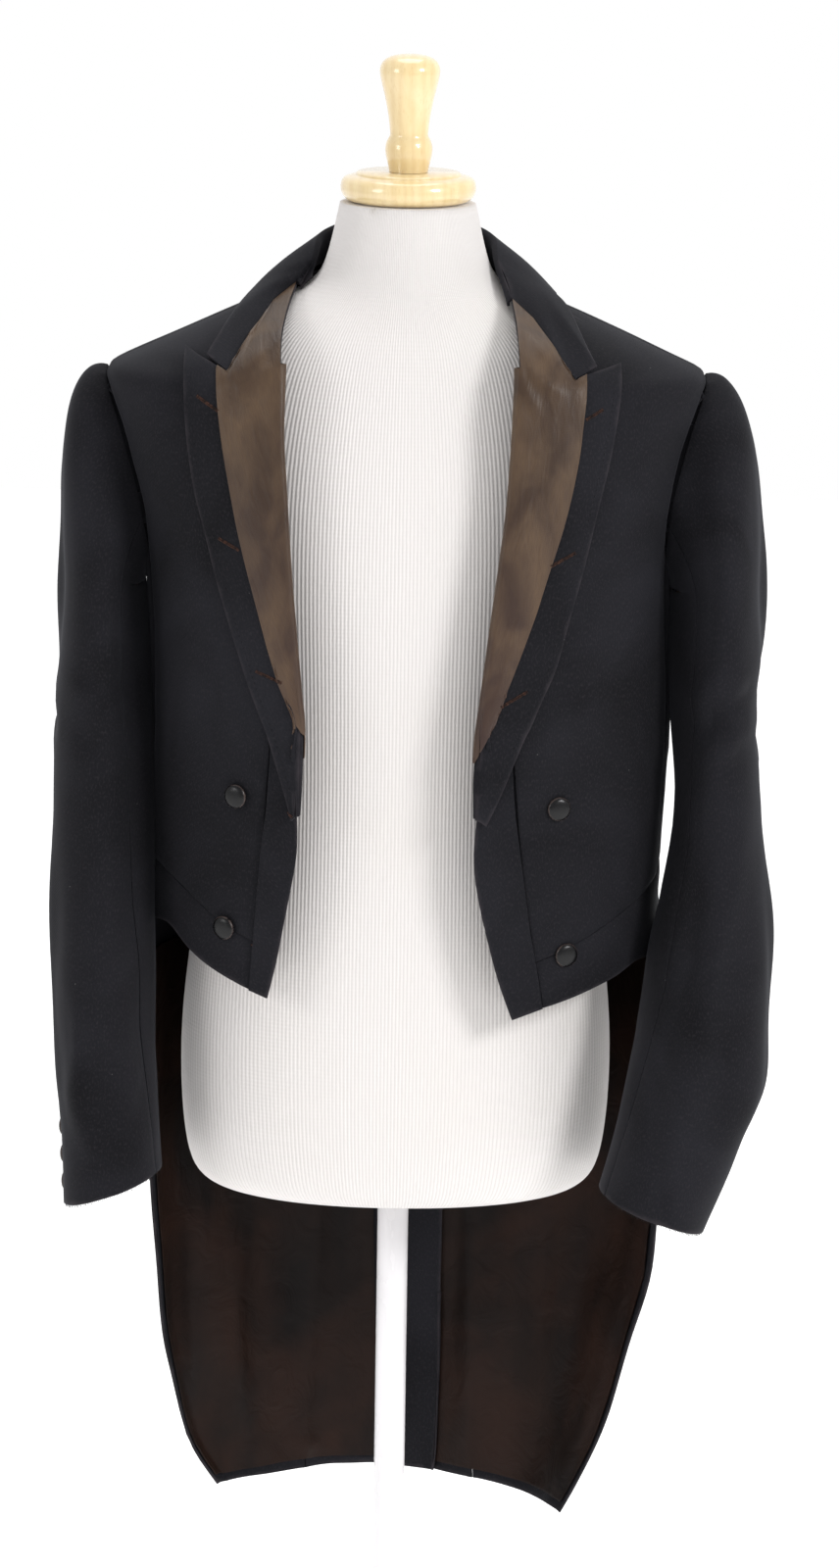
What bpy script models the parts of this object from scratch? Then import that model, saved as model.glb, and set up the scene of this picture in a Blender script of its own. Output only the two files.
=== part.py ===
"""White tie tailcoat on a limbless dress form. Metres, +Z up, front toward -Y, floor at z = 0.

The wearer's left is +X. Cloth pieces are thin closed walls that follow one body surface,
RINGS, and stop a little short of every seam. Tables name their columns just above them.
"""

import math

import bpy
import numpy as np
from mathutils import Vector
from mathutils.bvhtree import BVHTree

# Walls and gaps
CLOTH = 0.0020
SILK = 0.0010
LINING = 0.0010
SEAM = 0.0002
LAYER = 0.0004

# Hem, waist and neck of the coat
HEM = 0.3400
STRAP_LEVEL = 0.8000
ARM_LOW = 1.1220
ARM_TOP = 1.2625
NECK_FRONT = 1.2930
NECK_SIDE = 1.3310
SHOULDER_SEAM = 93.0
SIDE_SEAM = 79.0
UNDERLAP = 0.0400
VENT_TOP = 0.8900
VENT_FULL = 0.8600

# Stand
POLE_RADIUS = 0.0120
POLE_HIGH = 0.6225
BASE_RADIUS = 0.1600
BASE_EDGE = 0.0060
BASE_HIGH = 0.0180
HUB_RADIUS = 0.0260
HUB_HIGH = 0.0620

# Body surface: height, half width left, half width right, y of the widest point left and right,
# depth in front, depth behind, squareness in front, squareness behind left and right
RINGS = np.array([
    (0.3350, 0.1335, 0.1345, 0.038, 0.098, 0.0600, 0.1640, 2.00, 1.40, 1.40),
    (0.3484, 0.1414, 0.1450, 0.038, 0.096, 0.0600, 0.1630, 2.00, 1.42, 1.42),
    (0.3748, 0.1541, 0.1592, 0.037, 0.090, 0.0600, 0.1620, 2.00, 1.44, 1.45),
    (0.4090, 0.1684, 0.1690, 0.035, 0.079, 0.0600, 0.1600, 2.00, 1.47, 1.48),
    (0.4454, 0.1789, 0.1760, 0.032, 0.064, 0.0600, 0.1575, 2.00, 1.52, 1.54),
    (0.4900, 0.1900, 0.1834, 0.030, 0.053, 0.0700, 0.1550, 2.10, 1.64, 1.64),
    (0.5400, 0.2050, 0.1876, 0.030, 0.041, 0.0800, 0.1520, 2.10, 1.80, 1.80),
    (0.6000, 0.2091, 0.1920, 0.028, 0.031, 0.0900, 0.1490, 2.20, 2.00, 2.00),
    (0.6700, 0.2080, 0.1935, 0.022, 0.024, 0.1100, 0.1460, 2.20, 2.20, 2.20),
    (0.7400, 0.2040, 0.1925, 0.014, 0.014, 0.1350, 0.1420, 2.30, 2.30, 2.30),
    (0.8000, 0.2010, 0.1895, 0.006, 0.006, 0.1460, 0.1340, 2.50, 2.35, 2.35),
    (0.8500, 0.2005, 0.1880, 0.002, 0.002, 0.1470, 0.1200, 2.50, 2.35, 2.35),
    (0.9000, 0.2030, 0.1880, 0.000, 0.000, 0.1480, 0.1060, 2.50, 2.30, 2.30),
    (0.9500, 0.2055, 0.1880, 0.000, 0.000, 0.1485, 0.1010, 2.50, 2.30, 2.30),
    (1.0000, 0.2045, 0.1880, 0.000, 0.000, 0.1480, 0.1030, 2.50, 2.30, 2.30),
    (1.0700, 0.2020, 0.1895, 0.000, 0.000, 0.1470, 0.1100, 2.50, 2.35, 2.35),
    (1.1250, 0.2010, 0.1940, 0.000, 0.000, 0.1450, 0.1160, 2.50, 2.40, 2.40),
    (1.1600, 0.2070, 0.2030, 0.000, 0.000, 0.1420, 0.1190, 2.50, 2.45, 2.45),
    (1.1950, 0.2150, 0.2130, 0.000, 0.000, 0.1370, 0.1200, 2.50, 2.50, 2.50),
    (1.2300, 0.2230, 0.2220, 0.000, 0.000, 0.1310, 0.1200, 2.50, 2.50, 2.50),
    (1.2550, 0.2290, 0.2280, 0.000, 0.000, 0.1255, 0.1180, 2.45, 2.50, 2.50),
    (1.2640, 0.2270, 0.2250, 0.000, 0.000, 0.1232, 0.1170, 2.40, 2.45, 2.45),
    (1.2720, 0.2090, 0.2080, 0.000, 0.000, 0.1208, 0.1150, 2.35, 2.40, 2.40),
    (1.2820, 0.1870, 0.1860, 0.000, 0.000, 0.1170, 0.1120, 2.30, 2.30, 2.30),
    (1.2920, 0.1650, 0.1640, 0.000, 0.000, 0.1110, 0.1070, 2.20, 2.20, 2.20),
    (1.3020, 0.1430, 0.1420, 0.000, 0.000, 0.1020, 0.1000, 2.10, 2.15, 2.15),
    (1.3120, 0.1200, 0.1190, 0.000, 0.000, 0.0915, 0.0915, 2.05, 2.10, 2.10),
    (1.3220, 0.0960, 0.0955, 0.000, 0.000, 0.0795, 0.0820, 2.00, 2.05, 2.05),
    (1.3320, 0.0760, 0.0760, 0.000, 0.000, 0.0670, 0.0720, 2.00, 2.00, 2.00),
    (1.3450, 0.0680, 0.0680, 0.000, 0.000, 0.0600, 0.0640, 2.00, 2.00, 2.00),
])

# Large hanging folds of the tails: side, angle, width in degrees, depth at the hem, height where
# the fold starts
FOLDS = (
    (1, 148.0, 8.0, -0.0060, 0.76),
    (1, 126.0, 9.0, 0.0070, 0.74),
    (1, 105.0, 6.0, -0.0040, 0.66),
    (-1, 152.0, 8.0, 0.0050, 0.72),
    (-1, 127.0, 9.0, -0.0070, 0.76),
    (-1, 106.0, 6.0, 0.0040, 0.62),
)

# Edge of each front from the point up to the neck: height, x. It is the roll line above 0.93.
EDGE = {
    1: np.array([
        (0.7864, 0.0880), (0.8050, 0.0808), (0.8319, 0.0729), (0.8663, 0.0642), (0.8967, 0.0578),
        (0.9284, 0.0565), (0.9719, 0.0565), (0.9980, 0.0575), (1.0314, 0.0613), (1.0758, 0.0664),
        (1.1198, 0.0715), (1.1635, 0.0765), (1.2067, 0.0802), (1.2495, 0.0824), (1.2839, 0.0826),
        (1.3027, 0.0804), (1.3225, 0.0767),
    ]),
    -1: np.array([
        (0.7999, 0.0971), (0.8032, 0.0949), (0.8357, 0.0893), (0.8627, 0.0844), (0.8974, 0.0781),
        (0.9315, 0.0741), (0.9691, 0.0730), (0.9952, 0.0726), (1.0139, 0.0728), (1.0582, 0.0770),
        (1.1022, 0.0812), (1.1534, 0.0855), (1.2038, 0.0891), (1.2324, 0.0910), (1.2608, 0.0907),
        (1.2812, 0.0898), (1.3060, 0.0886), (1.3280, 0.0813),
    ]),
}

# Seam between the sewn-on lapel strip and the front: height, x
STRIP_SEAM = {
    1: np.array([
        (0.7850, 0.1125), (0.8096, 0.1094), (0.8476, 0.1018), (0.9130, 0.0926), (0.9731, 0.0870),
        (1.0314, 0.0850), (1.1198, 0.0930), (1.2067, 0.1010), (1.2839, 0.1050), (1.3060, 0.1040),
    ]),
    -1: np.array([
        (0.7900, 0.1120), (0.8084, 0.1108), (0.8500, 0.1079), (0.9174, 0.1030), (0.9600, 0.1000),
        (1.0139, 0.0970), (1.1022, 0.1030), (1.2038, 0.1100), (1.2812, 0.1120), (1.3060, 0.1100),
    ]),
}

# Turned lapel, lowest row first: height at the roll, height and x of the silk's edge, height and
# x of the free edge
LAPEL = {
    1: np.array([
        (0.9450, 0.9425, 0.0610, 0.9390, 0.0656),
        (0.9620, 0.9610, 0.0655, 0.9600, 0.0754),
        (0.9840, 0.9850, 0.0680, 0.9854, 0.0856),
        (1.0060, 1.0070, 0.0668, 1.0060, 0.0940),
        (1.0200, 1.0180, 0.0700, 1.0150, 0.0985),
        (1.0480, 1.0430, 0.0800, 1.0350, 0.1065),
        (1.0760, 1.0700, 0.0900, 1.0570, 0.1158),
        (1.1060, 1.1000, 0.1005, 1.0880, 0.1236),
        (1.1360, 1.1290, 0.1090, 1.1180, 0.1317),
        (1.1660, 1.1590, 0.1185, 1.1470, 0.1390),
        (1.1960, 1.1880, 0.1255, 1.1760, 0.1455),
        (1.2260, 1.2170, 0.1307, 1.2050, 0.1523),
        (1.2540, 1.2400, 0.1329, 1.2300, 0.1568),
        (1.2800, 1.2560, 0.1346, 1.2530, 0.1600),
        (1.3020, 1.2680, 0.1350, 1.2690, 0.1612),
        (1.3225, 1.2751, 0.1347, 1.2806, 0.1608),
    ]),
    -1: np.array([
        (0.9450, 0.9430, 0.0772, 0.9400, 0.0800),
        (0.9620, 0.9615, 0.0790, 0.9606, 0.0855),
        (0.9840, 0.9860, 0.0800, 0.9876, 0.0939),
        (1.0060, 1.0060, 0.0790, 1.0040, 0.0990),
        (1.0200, 1.0190, 0.0790, 1.0140, 0.1030),
        (1.0480, 1.0430, 0.0907, 1.0390, 0.1128),
        (1.0760, 1.0700, 0.0992, 1.0640, 0.1212),
        (1.1060, 1.0990, 0.1073, 1.0930, 0.1306),
        (1.1360, 1.1280, 0.1155, 1.1230, 0.1397),
        (1.1660, 1.1580, 0.1230, 1.1520, 0.1470),
        (1.1960, 1.1870, 0.1288, 1.1800, 0.1550),
        (1.2260, 1.2170, 0.1345, 1.2100, 0.1602),
        (1.2540, 1.2400, 0.1378, 1.2350, 0.1630),
        (1.2800, 1.2560, 0.1394, 1.2580, 0.1643),
        (1.3050, 1.2690, 0.1400, 1.2740, 0.1651),
        (1.3280, 1.2773, 0.1405, 1.2858, 0.1648),
    ]),
}

# Gorge seam and notch, from the roll line out to the peak: height, x
GORGE = {
    1: np.array([
        (1.3225, 0.0767), (1.3112, 0.0944), (1.2930, 0.1105), (1.2716, 0.1259), (1.2751, 0.1347),
        (1.2779, 0.1478), (1.2806, 0.1608),
    ]),
    -1: np.array([
        (1.3280, 0.0813), (1.3175, 0.0995), (1.2965, 0.1175), (1.2735, 0.1322), (1.2773, 0.1405),
        (1.2816, 0.1527), (1.2858, 0.1648),
    ]),
}

# Waist seam and strap hem of each front: share of the way from the strip to the side, height
WAIST = {
    1: np.array([(0.0, 0.8310), (0.25, 0.8440), (0.6, 0.8640), (0.85, 0.8740), (1.0, 0.8800)]),
    -1: np.array([(0.0, 0.8421), (0.3, 0.8590), (0.6, 0.8770), (0.85, 0.8860), (1.0, 0.8880)]),
}
STRAP_HEM = {
    1: np.array([(0.0, 0.7945), (0.25, 0.8060), (0.6, 0.8200), (0.85, 0.8160), (1.0, 0.8000)]),
    -1: np.array([(0.0, 0.8050), (0.3, 0.8220), (0.6, 0.8440), (0.85, 0.8400), (1.0, 0.8000)]),
}
WAIST_BACK = 0.9050

# Armhole edge: angle, height; down the front, round the underarm and up the back
ARMHOLE = np.array([
    (90.5, ARM_TOP), (86.0, 1.2595), (81.5, 1.2520), (77.5, 1.2400), (75.0, 1.2200),
    (73.5, 1.1950), (73.5, 1.1700), (76.0, 1.1450), (79.0, 1.1300), (84.0, 1.1235),
    (90.0, ARM_LOW), (96.0, 1.1235), (101.0, 1.1290), (106.0, 1.1450), (110.0, 1.1700),
    (111.5, 1.1950), (110.5, 1.2200), (107.0, 1.2400), (101.5, 1.2520), (95.0, 1.2600),
    (90.5, ARM_TOP),
])
FRONT_ARM = 9
BACK_ARM = 14

# Seam of the back panel and the pleat below it: height, x
BACK_SEAM = np.array([
    (0.335, 0.0700), (0.500, 0.0660), (0.700, 0.0560), (0.860, 0.0460), (0.905, 0.0420),
    (0.950, 0.0430), (1.000, 0.0560), (1.060, 0.0900), (1.110, 0.1290), (1.150, 0.1640),
    (1.170, 0.1840),
])

# Rows of the shoulder seam from the neck out, and of the tails below the strap
SHOULDER_ROWS = (NECK_SIDE, 1.3170, 1.3020, 1.2870, 1.2740, ARM_TOP)
TAIL_ROWS = (0.7600, 0.7150, 0.6700, 0.6250, 0.5800, 0.5350, 0.4900, 0.4454, 0.4090, 0.3780, 0.3570)

# Sleeve guides: height, outer x, inner x, front y, back y, turn of the seams in degrees
SLEEVE = {
    1: np.array([
        (0.6000, 0.2330, 0.1500, -0.160, -0.045, 34.0),
        (0.6160, 0.2373, 0.1520, -0.158, -0.044, 34.0),
        (0.6460, 0.2541, 0.1570, -0.157, -0.043, 32.0),
        (0.6720, 0.2595, 0.1638, -0.155, -0.041, 30.0),
        (0.7040, 0.2728, 0.1710, -0.152, -0.038, 26.0),
        (0.7260, 0.2823, 0.1755, -0.149, -0.034, 23.0),
        (0.7640, 0.2845, 0.1840, -0.143, -0.026, 19.0),
        (0.8000, 0.2853, 0.1915, -0.137, -0.018, 16.0),
        (0.8310, 0.2855, 0.1965, -0.130, -0.011, 13.0),
        (0.8610, 0.2835, 0.1995, -0.122, -0.004, 11.0),
        (0.9170, 0.2772, 0.2090, -0.110, 0.013, 8.0),
        (0.9790, 0.2723, 0.2112, -0.100, 0.032, 5.0),
        (1.0180, 0.2708, 0.2095, -0.095, 0.044, 3.0),
        (1.0380, 0.2750, 0.2082, -0.092, 0.050, 2.0),
        (1.0830, 0.2763, 0.2080, -0.087, 0.060, 0.0),
        (1.1060, 0.2734, 0.2080, -0.084, 0.065, 0.0),
    ]),
    -1: np.array([
        (0.6100, 0.2525, 0.1745, -0.125, -0.018, 34.0),
        (0.6373, 0.2541, 0.1765, -0.125, -0.017, 33.0),
        (0.6561, 0.2550, 0.1780, -0.124, -0.016, 31.0),
        (0.6961, 0.2570, 0.1820, -0.122, -0.013, 28.0),
        (0.7485, 0.2605, 0.1863, -0.117, -0.005, 22.0),
        (0.8084, 0.2622, 0.1899, -0.111, 0.008, 16.0),
        (0.8529, 0.2630, 0.1926, -0.106, 0.018, 11.0),
        (0.8963, 0.2636, 0.1926, -0.100, 0.028, 8.0),
        (0.9559, 0.2644, 0.1925, -0.094, 0.040, 5.0),
        (1.0150, 0.2630, 0.1955, -0.090, 0.052, 3.0),
        (1.0734, 0.2608, 0.1991, -0.087, 0.062, 1.0),
        (1.1060, 0.2590, 0.2015, -0.084, 0.066, 0.0),
    ]),
}
SLEEVE_TOP_ROW = 1.0950
SLEEVE_ROWS = (1.0500, 1.0180, 0.9700, 0.9170, 0.8610, 0.8080, 0.7640, 0.7260, 0.6960, 0.6680)
SLEEVE_POINTS = 20
# Cuff hem: mean height, rise toward the body, rise toward the front
CUFF = {1: (0.6330, 0.0150, 0.0010), -1: (0.6370, 0.0140, 0.0030)}
HIND_SEAM = 5
FRONT_SEAM = 7

# Collar from the centre back to the front end: angle and height under the outer edge, fold x, y
# and height, stand foot x, y and height
COLLAR = {
    1: np.array([
        (180.0, 1.3150, 0.0000, 0.0650, 1.3700, 0.0000, 0.0668, 1.3400),
        (158.0, 1.3140, 0.0285, 0.0590, 1.3690, 0.0290, 0.0612, 1.3395),
        (136.0, 1.3120, 0.0520, 0.0430, 1.3650, 0.0545, 0.0465, 1.3385),
        (112.0, 1.3130, 0.0650, 0.0240, 1.3595, 0.0695, 0.0240, 1.3365),
        (90.0, 1.3155, 0.0675, 0.0050, 1.3540, 0.0728, 0.0020, 1.3355),
        (74.0, 1.3100, 0.0690, -0.0130, 1.3460, 0.0715, -0.0180, 1.3335),
    ]),
    -1: np.array([
        (180.0, 1.3150, 0.0000, 0.0650, 1.3700, 0.0000, 0.0668, 1.3400),
        (158.0, 1.3140, 0.0285, 0.0590, 1.3690, 0.0290, 0.0612, 1.3395),
        (136.0, 1.3115, 0.0520, 0.0430, 1.3655, 0.0545, 0.0465, 1.3385),
        (112.0, 1.3110, 0.0655, 0.0240, 1.3610, 0.0695, 0.0240, 1.3365),
        (90.0, 1.3120, 0.0690, 0.0060, 1.3560, 0.0728, 0.0020, 1.3355),
        (74.0, 1.3070, 0.0720, -0.0080, 1.3470, 0.0720, -0.0160, 1.3335),
    ]),
}
COLLAR_LIFT = 0.0042
SILK_START = {1: 3, -1: 4}
# Front end of the collar's outer edge, and one station behind it: height, x
COLLAR_END = {1: ((1.2791, 0.1429), (1.2950, 0.1330)), -1: ((1.2826, 0.1483), (1.2965, 0.1385))}

# Lift of the turned lapel off the front: share of the way out, lift
LAPEL_LIFT = np.array([(0.0, 0.0046), (0.35, 0.0056), (0.7, 0.0046), (1.0, 0.0036)])
FOLD_RADIUS = 0.0026

# Front buttons and cuff buttons: side, height, x or angle
FRONT_BUTTONS = ((1, 0.9498, 0.1202), (1, 0.8358, 0.1278), (-1, 0.9544, 0.1219), (-1, 0.8516, 0.1300))
CUFF_BUTTONS = ((0.6755, -22.0), (0.6540, -22.0), (0.6325, -22.0))
BUTTON_RADIUS = 0.0090
BUTTON_HEIGHT = 0.0045
CUFF_BUTTON_RADIUS = 0.0075
CUFF_BUTTON_HEIGHT = 0.0040
BUTTON_STEPS = 12

# Dress form: height, half width, depth in front, depth behind, squareness
FORM = np.array([
    (0.6225, 0.1300, 0.0800, 0.0880, 2.1),
    (0.6250, 0.1440, 0.0930, 0.1000, 2.1),
    (0.6330, 0.1560, 0.1040, 0.1100, 2.1),
    (0.6500, 0.1630, 0.1110, 0.1165, 2.1),
    (0.6900, 0.1680, 0.1160, 0.1215, 2.1),
    (0.7500, 0.1690, 0.1180, 0.1215, 2.1),
    (0.8200, 0.1610, 0.1190, 0.1120, 2.1),
    (0.8900, 0.1500, 0.1180, 0.0970, 2.1),
    (0.9600, 0.1460, 0.1180, 0.0920, 2.1),
    (1.0300, 0.1510, 0.1200, 0.0950, 2.1),
    (1.1000, 0.1600, 0.1220, 0.1020, 2.15),
    (1.1600, 0.1700, 0.1190, 0.1080, 2.2),
    (1.2100, 0.1770, 0.1120, 0.1085, 2.2),
    (1.2450, 0.1800, 0.1030, 0.1060, 2.2),
    (1.2650, 0.1770, 0.0970, 0.1030, 2.15),
    (1.2780, 0.1710, 0.0920, 0.0985, 2.1),
    (1.2880, 0.1610, 0.0870, 0.0935, 2.05),
    (1.2980, 0.1452, 0.0800, 0.0870, 2.0),
    (1.3080, 0.1215, 0.0720, 0.0800, 2.0),
    (1.3180, 0.0910, 0.0650, 0.0725, 2.0),
    (1.3300, 0.0690, 0.0590, 0.0625, 2.0),
    (1.3450, 0.0620, 0.0570, 0.0585, 2.0),
    (1.3650, 0.0570, 0.0560, 0.0560, 2.0),
    (1.3890, 0.0520, 0.0520, 0.0520, 2.0),
])
FORM_POINTS = 24

# Turned profiles, top to bottom: radius, height
CAP_PROFILE = (
    (0.0, 1.4115), (0.0390, 1.4115), (0.0398, 1.4095), (0.0470, 1.4080), (0.0502, 1.4052),
    (0.0515, 1.4010), (0.0508, 1.3962), (0.0480, 1.3920), (0.0440, 1.3895), (0.0, 1.3895),
)
FINIAL_PROFILE = (
    (0.0, 1.5005), (0.0110, 1.4998), (0.0180, 1.4972), (0.0220, 1.4930), (0.0229, 1.4885),
    (0.0222, 1.4835), (0.0200, 1.4740), (0.0172, 1.4610), (0.0150, 1.4480), (0.0143, 1.4395),
    (0.0155, 1.4365), (0.0176, 1.4320), (0.0178, 1.4270), (0.0165, 1.4200), (0.0150, 1.4145),
    (0.0147, 1.4118), (0.0, 1.4118),
)

# Finishes: base colour, roughness, metallic
FINISHES = {
    "black_wool": ((0.012, 0.012, 0.015), 0.85, 0.0),
    "brown_silk": ((0.060, 0.038, 0.026), 0.45, 0.0),
    "brown_lining": ((0.022, 0.014, 0.010), 0.60, 0.0),
    "worn_satin": ((0.020, 0.018, 0.018), 0.50, 0.0),
    "pale_knit": ((0.830, 0.800, 0.790), 0.90, 0.0),
    "pale_maple": ((0.800, 0.630, 0.360), 0.25, 0.0),
    "white_paint": ((0.840, 0.820, 0.830), 0.30, 0.0),
}


def clear_scene():
    """Remove every object that a new file starts with."""
    for thing in list(bpy.data.objects):
        bpy.data.objects.remove(thing, do_unlink=True)


def finish(name):
    """A Principled material by name."""
    found = bpy.data.materials.get(name)
    if found:
        return found
    colour, rough, metal = FINISHES[name]
    made = bpy.data.materials.new(name)
    made.use_nodes = True
    shader = made.node_tree.nodes["Principled BSDF"]
    shader.inputs["Base Color"].default_value = (*colour, 1.0)
    shader.inputs["Roughness"].default_value = rough
    shader.inputs["Metallic"].default_value = metal
    return made


def along(table, value, column=1):
    """One column of a table at a height or share."""
    return np.interp(value, table[:, 0], table[:, column])


def ring_values(height, side):
    """Half width, widest y, front, back and the two squareness values at heights."""
    at = [np.interp(height, RINGS[:, 0], RINGS[:, k]) for k in range(1, 10)]
    wide = at[0] if side > 0 else at[1]
    middle = at[2] if side > 0 else at[3]
    square = at[7] if side > 0 else at[8]
    return wide, middle, at[4], at[5], at[6], square


def bare_surface(angle, height, side):
    """Points of the body surface; angle 0 in front, 90 at the side, 180 behind."""
    wide, middle, front, back, square_front, square_back = ring_values(height, side)
    turn = np.radians(angle)
    s = np.clip(np.sin(turn), 0.0, 1.0)
    c = np.cos(turn)
    ahead = angle <= 90.0
    power = np.where(ahead, 2.0 / square_front, 2.0 / square_back)
    reach = np.where(ahead, -(front + middle), back - middle)
    x = side * wide * s ** power
    y = middle + reach * np.abs(c) ** power
    return np.stack([x, y, height + 0.0 * x], axis=-1)


def unit(v):
    """Vectors of length one."""
    return v / np.maximum(np.linalg.norm(v, axis=-1, keepdims=True), 1e-12)


def normals_of(shape, angle, height, side):
    """Outward normals of a surface function by small differences."""
    near = shape(angle - 0.6, height, side)
    far = shape(angle + 0.6, height, side)
    low = shape(angle, height - 0.002, side)
    high = shape(angle, height + 0.002, side)
    return unit(np.cross(far - near, high - low) * side)


def fold_depth(angle, height, side):
    """How far the large folds push the tails out or in."""
    depth = np.zeros(np.shape(angle))
    for which, centre, width, size, start in FOLDS:
        if which == side:
            grow = np.clip((start - height) / (start - HEM), 0.0, 1.0) ** 0.8
            depth = depth + size * grow * np.exp(-((angle - centre) / width) ** 2)
    seam = back_angle(along(BACK_SEAM, height), height, side)
    pleat = np.clip((0.88 - height) / 0.03, 0.0, 1.0) * np.clip((height - 0.25) / 0.40, 0.0, 1.0)
    return depth - 0.0040 * pleat * np.exp(-((angle - seam) / 2.6) ** 2)


def cloth_surface(angle, height, side):
    """Body surface with the large folds."""
    base = bare_surface(angle, height, side)
    out = normals_of(bare_surface, angle, height, side)
    return base + out * fold_depth(angle, height, side)[..., None]


def front_angle(x, height, side):
    """Angle on the front half where the surface is x from the middle."""
    wide, _, _, _, square, _ = ring_values(height, side)
    return np.degrees(np.arcsin(np.clip(x / wide, 0.0, 1.0) ** (square / 2.0)))


def back_angle(x, height, side):
    """Angle on the back half where the surface is x from the middle."""
    wide, _, _, _, _, square = ring_values(height, side)
    return 180.0 - np.degrees(np.arcsin(np.clip(x / wide, 0.0, 1.0) ** (square / 2.0)))


def front_y(x, height, side):
    """Y of the front surface at x from the middle."""
    wide, middle, front, _, square, _ = ring_values(height, side)
    r = np.clip(x / wide, 0.0, 0.995)
    return middle - (front + middle) * (1.0 - r ** square) ** (1.0 / square)


def inset(grid, sides="wesn", amount=SEAM):
    """Move the border rows and columns of a grid of points inward."""
    grid = grid.copy()
    if "w" in sides:
        grid[:, 0] += unit(grid[:, 1] - grid[:, 0]) * amount
    if "e" in sides:
        grid[:, -1] += unit(grid[:, -2] - grid[:, -1]) * amount
    if "s" in sides:
        grid[0] += unit(grid[1] - grid[0]) * amount
    if "n" in sides:
        grid[-1] += unit(grid[-2] - grid[-1]) * amount
    return grid


def key_of(point):
    """Name of a point for looking it up in a sheet."""
    return tuple(np.round(point * 2e5).astype(int))


def sheet_of(grids):
    """Points and quads of one or more grids that share border points."""
    points, index, faces = [], {}, []
    for grid in grids:
        rows, columns = grid.shape[:2]
        ids = np.zeros((rows, columns), int)
        for i in range(rows):
            for j in range(columns):
                key = key_of(grid[i, j])
                if key not in index:
                    index[key] = len(points)
                    points.append(grid[i, j])
                ids[i, j] = index[key]
        for i in range(rows - 1):
            for j in range(columns - 1):
                quad = [ids[i, j], ids[i, j + 1], ids[i + 1, j + 1], ids[i + 1, j]]
                quad = [q for k, q in enumerate(quad) if q not in quad[:k]]
                if len(quad) > 2:
                    faces.append(quad)
    return np.array(points), faces, index


def point_normals(points, faces):
    """Area-weighted normals of a sheet's points."""
    total = np.zeros_like(points)
    for face in faces:
        a = points[face[0]]
        n = np.zeros(3)
        for k in range(1, len(face) - 1):
            n += np.cross(points[face[k]] - a, points[face[k + 1]] - a)
        total[face] += n
    return unit(total)


def closed_sheet(outer, inner, faces):
    """One closed solid between two copies of a sheet."""
    count = len(outer)
    edges = {}
    for face in faces:
        for a, b in zip(face, face[1:] + face[:1]):
            edges[(a, b)] = True
    solid = [[f[0], f[k], f[k + 1]] for f in faces for k in range(1, len(f) - 1)]
    solid += [[c + count, b + count, a + count] for a, b, c in solid]
    for a, b in edges:
        if (b, a) not in edges:
            solid.append([b, a, a + count, b + count])
    return np.vstack([outer, inner]), solid


def add_object(name, points, faces, finish_name, collection):
    """Make a mesh object with faces outward and flat triangles."""
    triangles = [(f[0], f[k], f[k + 1]) for f in faces for k in range(1, len(f) - 1)]
    p = np.asarray(points, float)
    t = np.array(triangles)
    volume = np.einsum("ij,ij->i", p[t[:, 0]], np.cross(p[t[:, 1]], p[t[:, 2]])).sum()
    if volume < 0:
        triangles = [(a, c, b) for a, b, c in triangles]
    mesh = bpy.data.meshes.new(name)
    mesh.from_pydata([tuple(q) for q in p], [], triangles)
    mesh.validate()
    mesh.update()
    made = bpy.data.objects.new(name, mesh)
    made.data.materials.append(finish(finish_name))
    collection.objects.link(made)
    return made


def cloth_piece(name, grids, wall, finish_name, collection, normals=None, centred=False, fixed=()):
    """Thicken grids of outside points into one closed piece of cloth."""
    points, faces, index = sheet_of(grids)
    if normals is None:
        out = point_normals(points, faces)
        for point, lean in fixed:
            own = out[index[key_of(point)]]
            out[index[key_of(point)]] = lean if np.dot(own, lean) > 0 else -lean
    else:
        out = np.zeros_like(points)
        for grid, normal in zip(grids, normals):
            flat = grid.reshape(-1, 3)
            for p, n in zip(flat, normal.reshape(-1, 3)):
                out[index[key_of(p)]] = n
    rise = wall / 2 if centred else 0.0
    outer = points + out * rise
    inner = points - out * (wall - rise)
    solid_points, solid = closed_sheet(outer, inner, faces)
    return add_object(name, solid_points, solid, finish_name, collection)


def patch(side, angles, heights, sides="wesn"):
    """A grid on the cloth surface and its normals."""
    grid = cloth_surface(angles, heights, side)
    return inset(grid, sides), normals_of(cloth_surface, angles, heights, side)


def armhole_height(angle):
    """Height of the lower armhole edge at an angle."""
    low = ARMHOLE[FRONT_ARM - 1:BACK_ARM + 1]
    return np.interp(angle, low[:, 0], low[:, 1])


def forepart_side(height):
    """Angle of the forepart's outer edge: side seam, armhole, then shoulder seam."""
    arm = ARMHOLE[:FRONT_ARM][::-1]
    angle = np.interp(height, arm[:, 1], arm[:, 0])
    angle = np.where(height < arm[0, 1], SIDE_SEAM, angle)
    return np.where(height >= ARM_TOP, np.interp(height, (ARM_TOP, 1.272), (90.5, SHOULDER_SEAM)), angle)


def back_side(height, side):
    """Angle of the back panel's outer edge: back seam, armhole, then shoulder seam."""
    arm = ARMHOLE[BACK_ARM:]
    angle = np.interp(height, arm[:, 1], arm[:, 0])
    seam = back_angle(along(BACK_SEAM, height), height, side)
    low = ARMHOLE[BACK_ARM, 1]
    blend = np.clip((height - 1.14) / (low - 1.14), 0.0, 1.0)
    seam = seam + blend * (ARMHOLE[BACK_ARM, 0] - back_angle(BACK_SEAM[-1, 1], low, side))
    angle = np.where(height < low, seam, angle)
    return np.where(height >= ARM_TOP, np.interp(height, (ARM_TOP, 1.272), (90.5, SHOULDER_SEAM)), angle)


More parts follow.
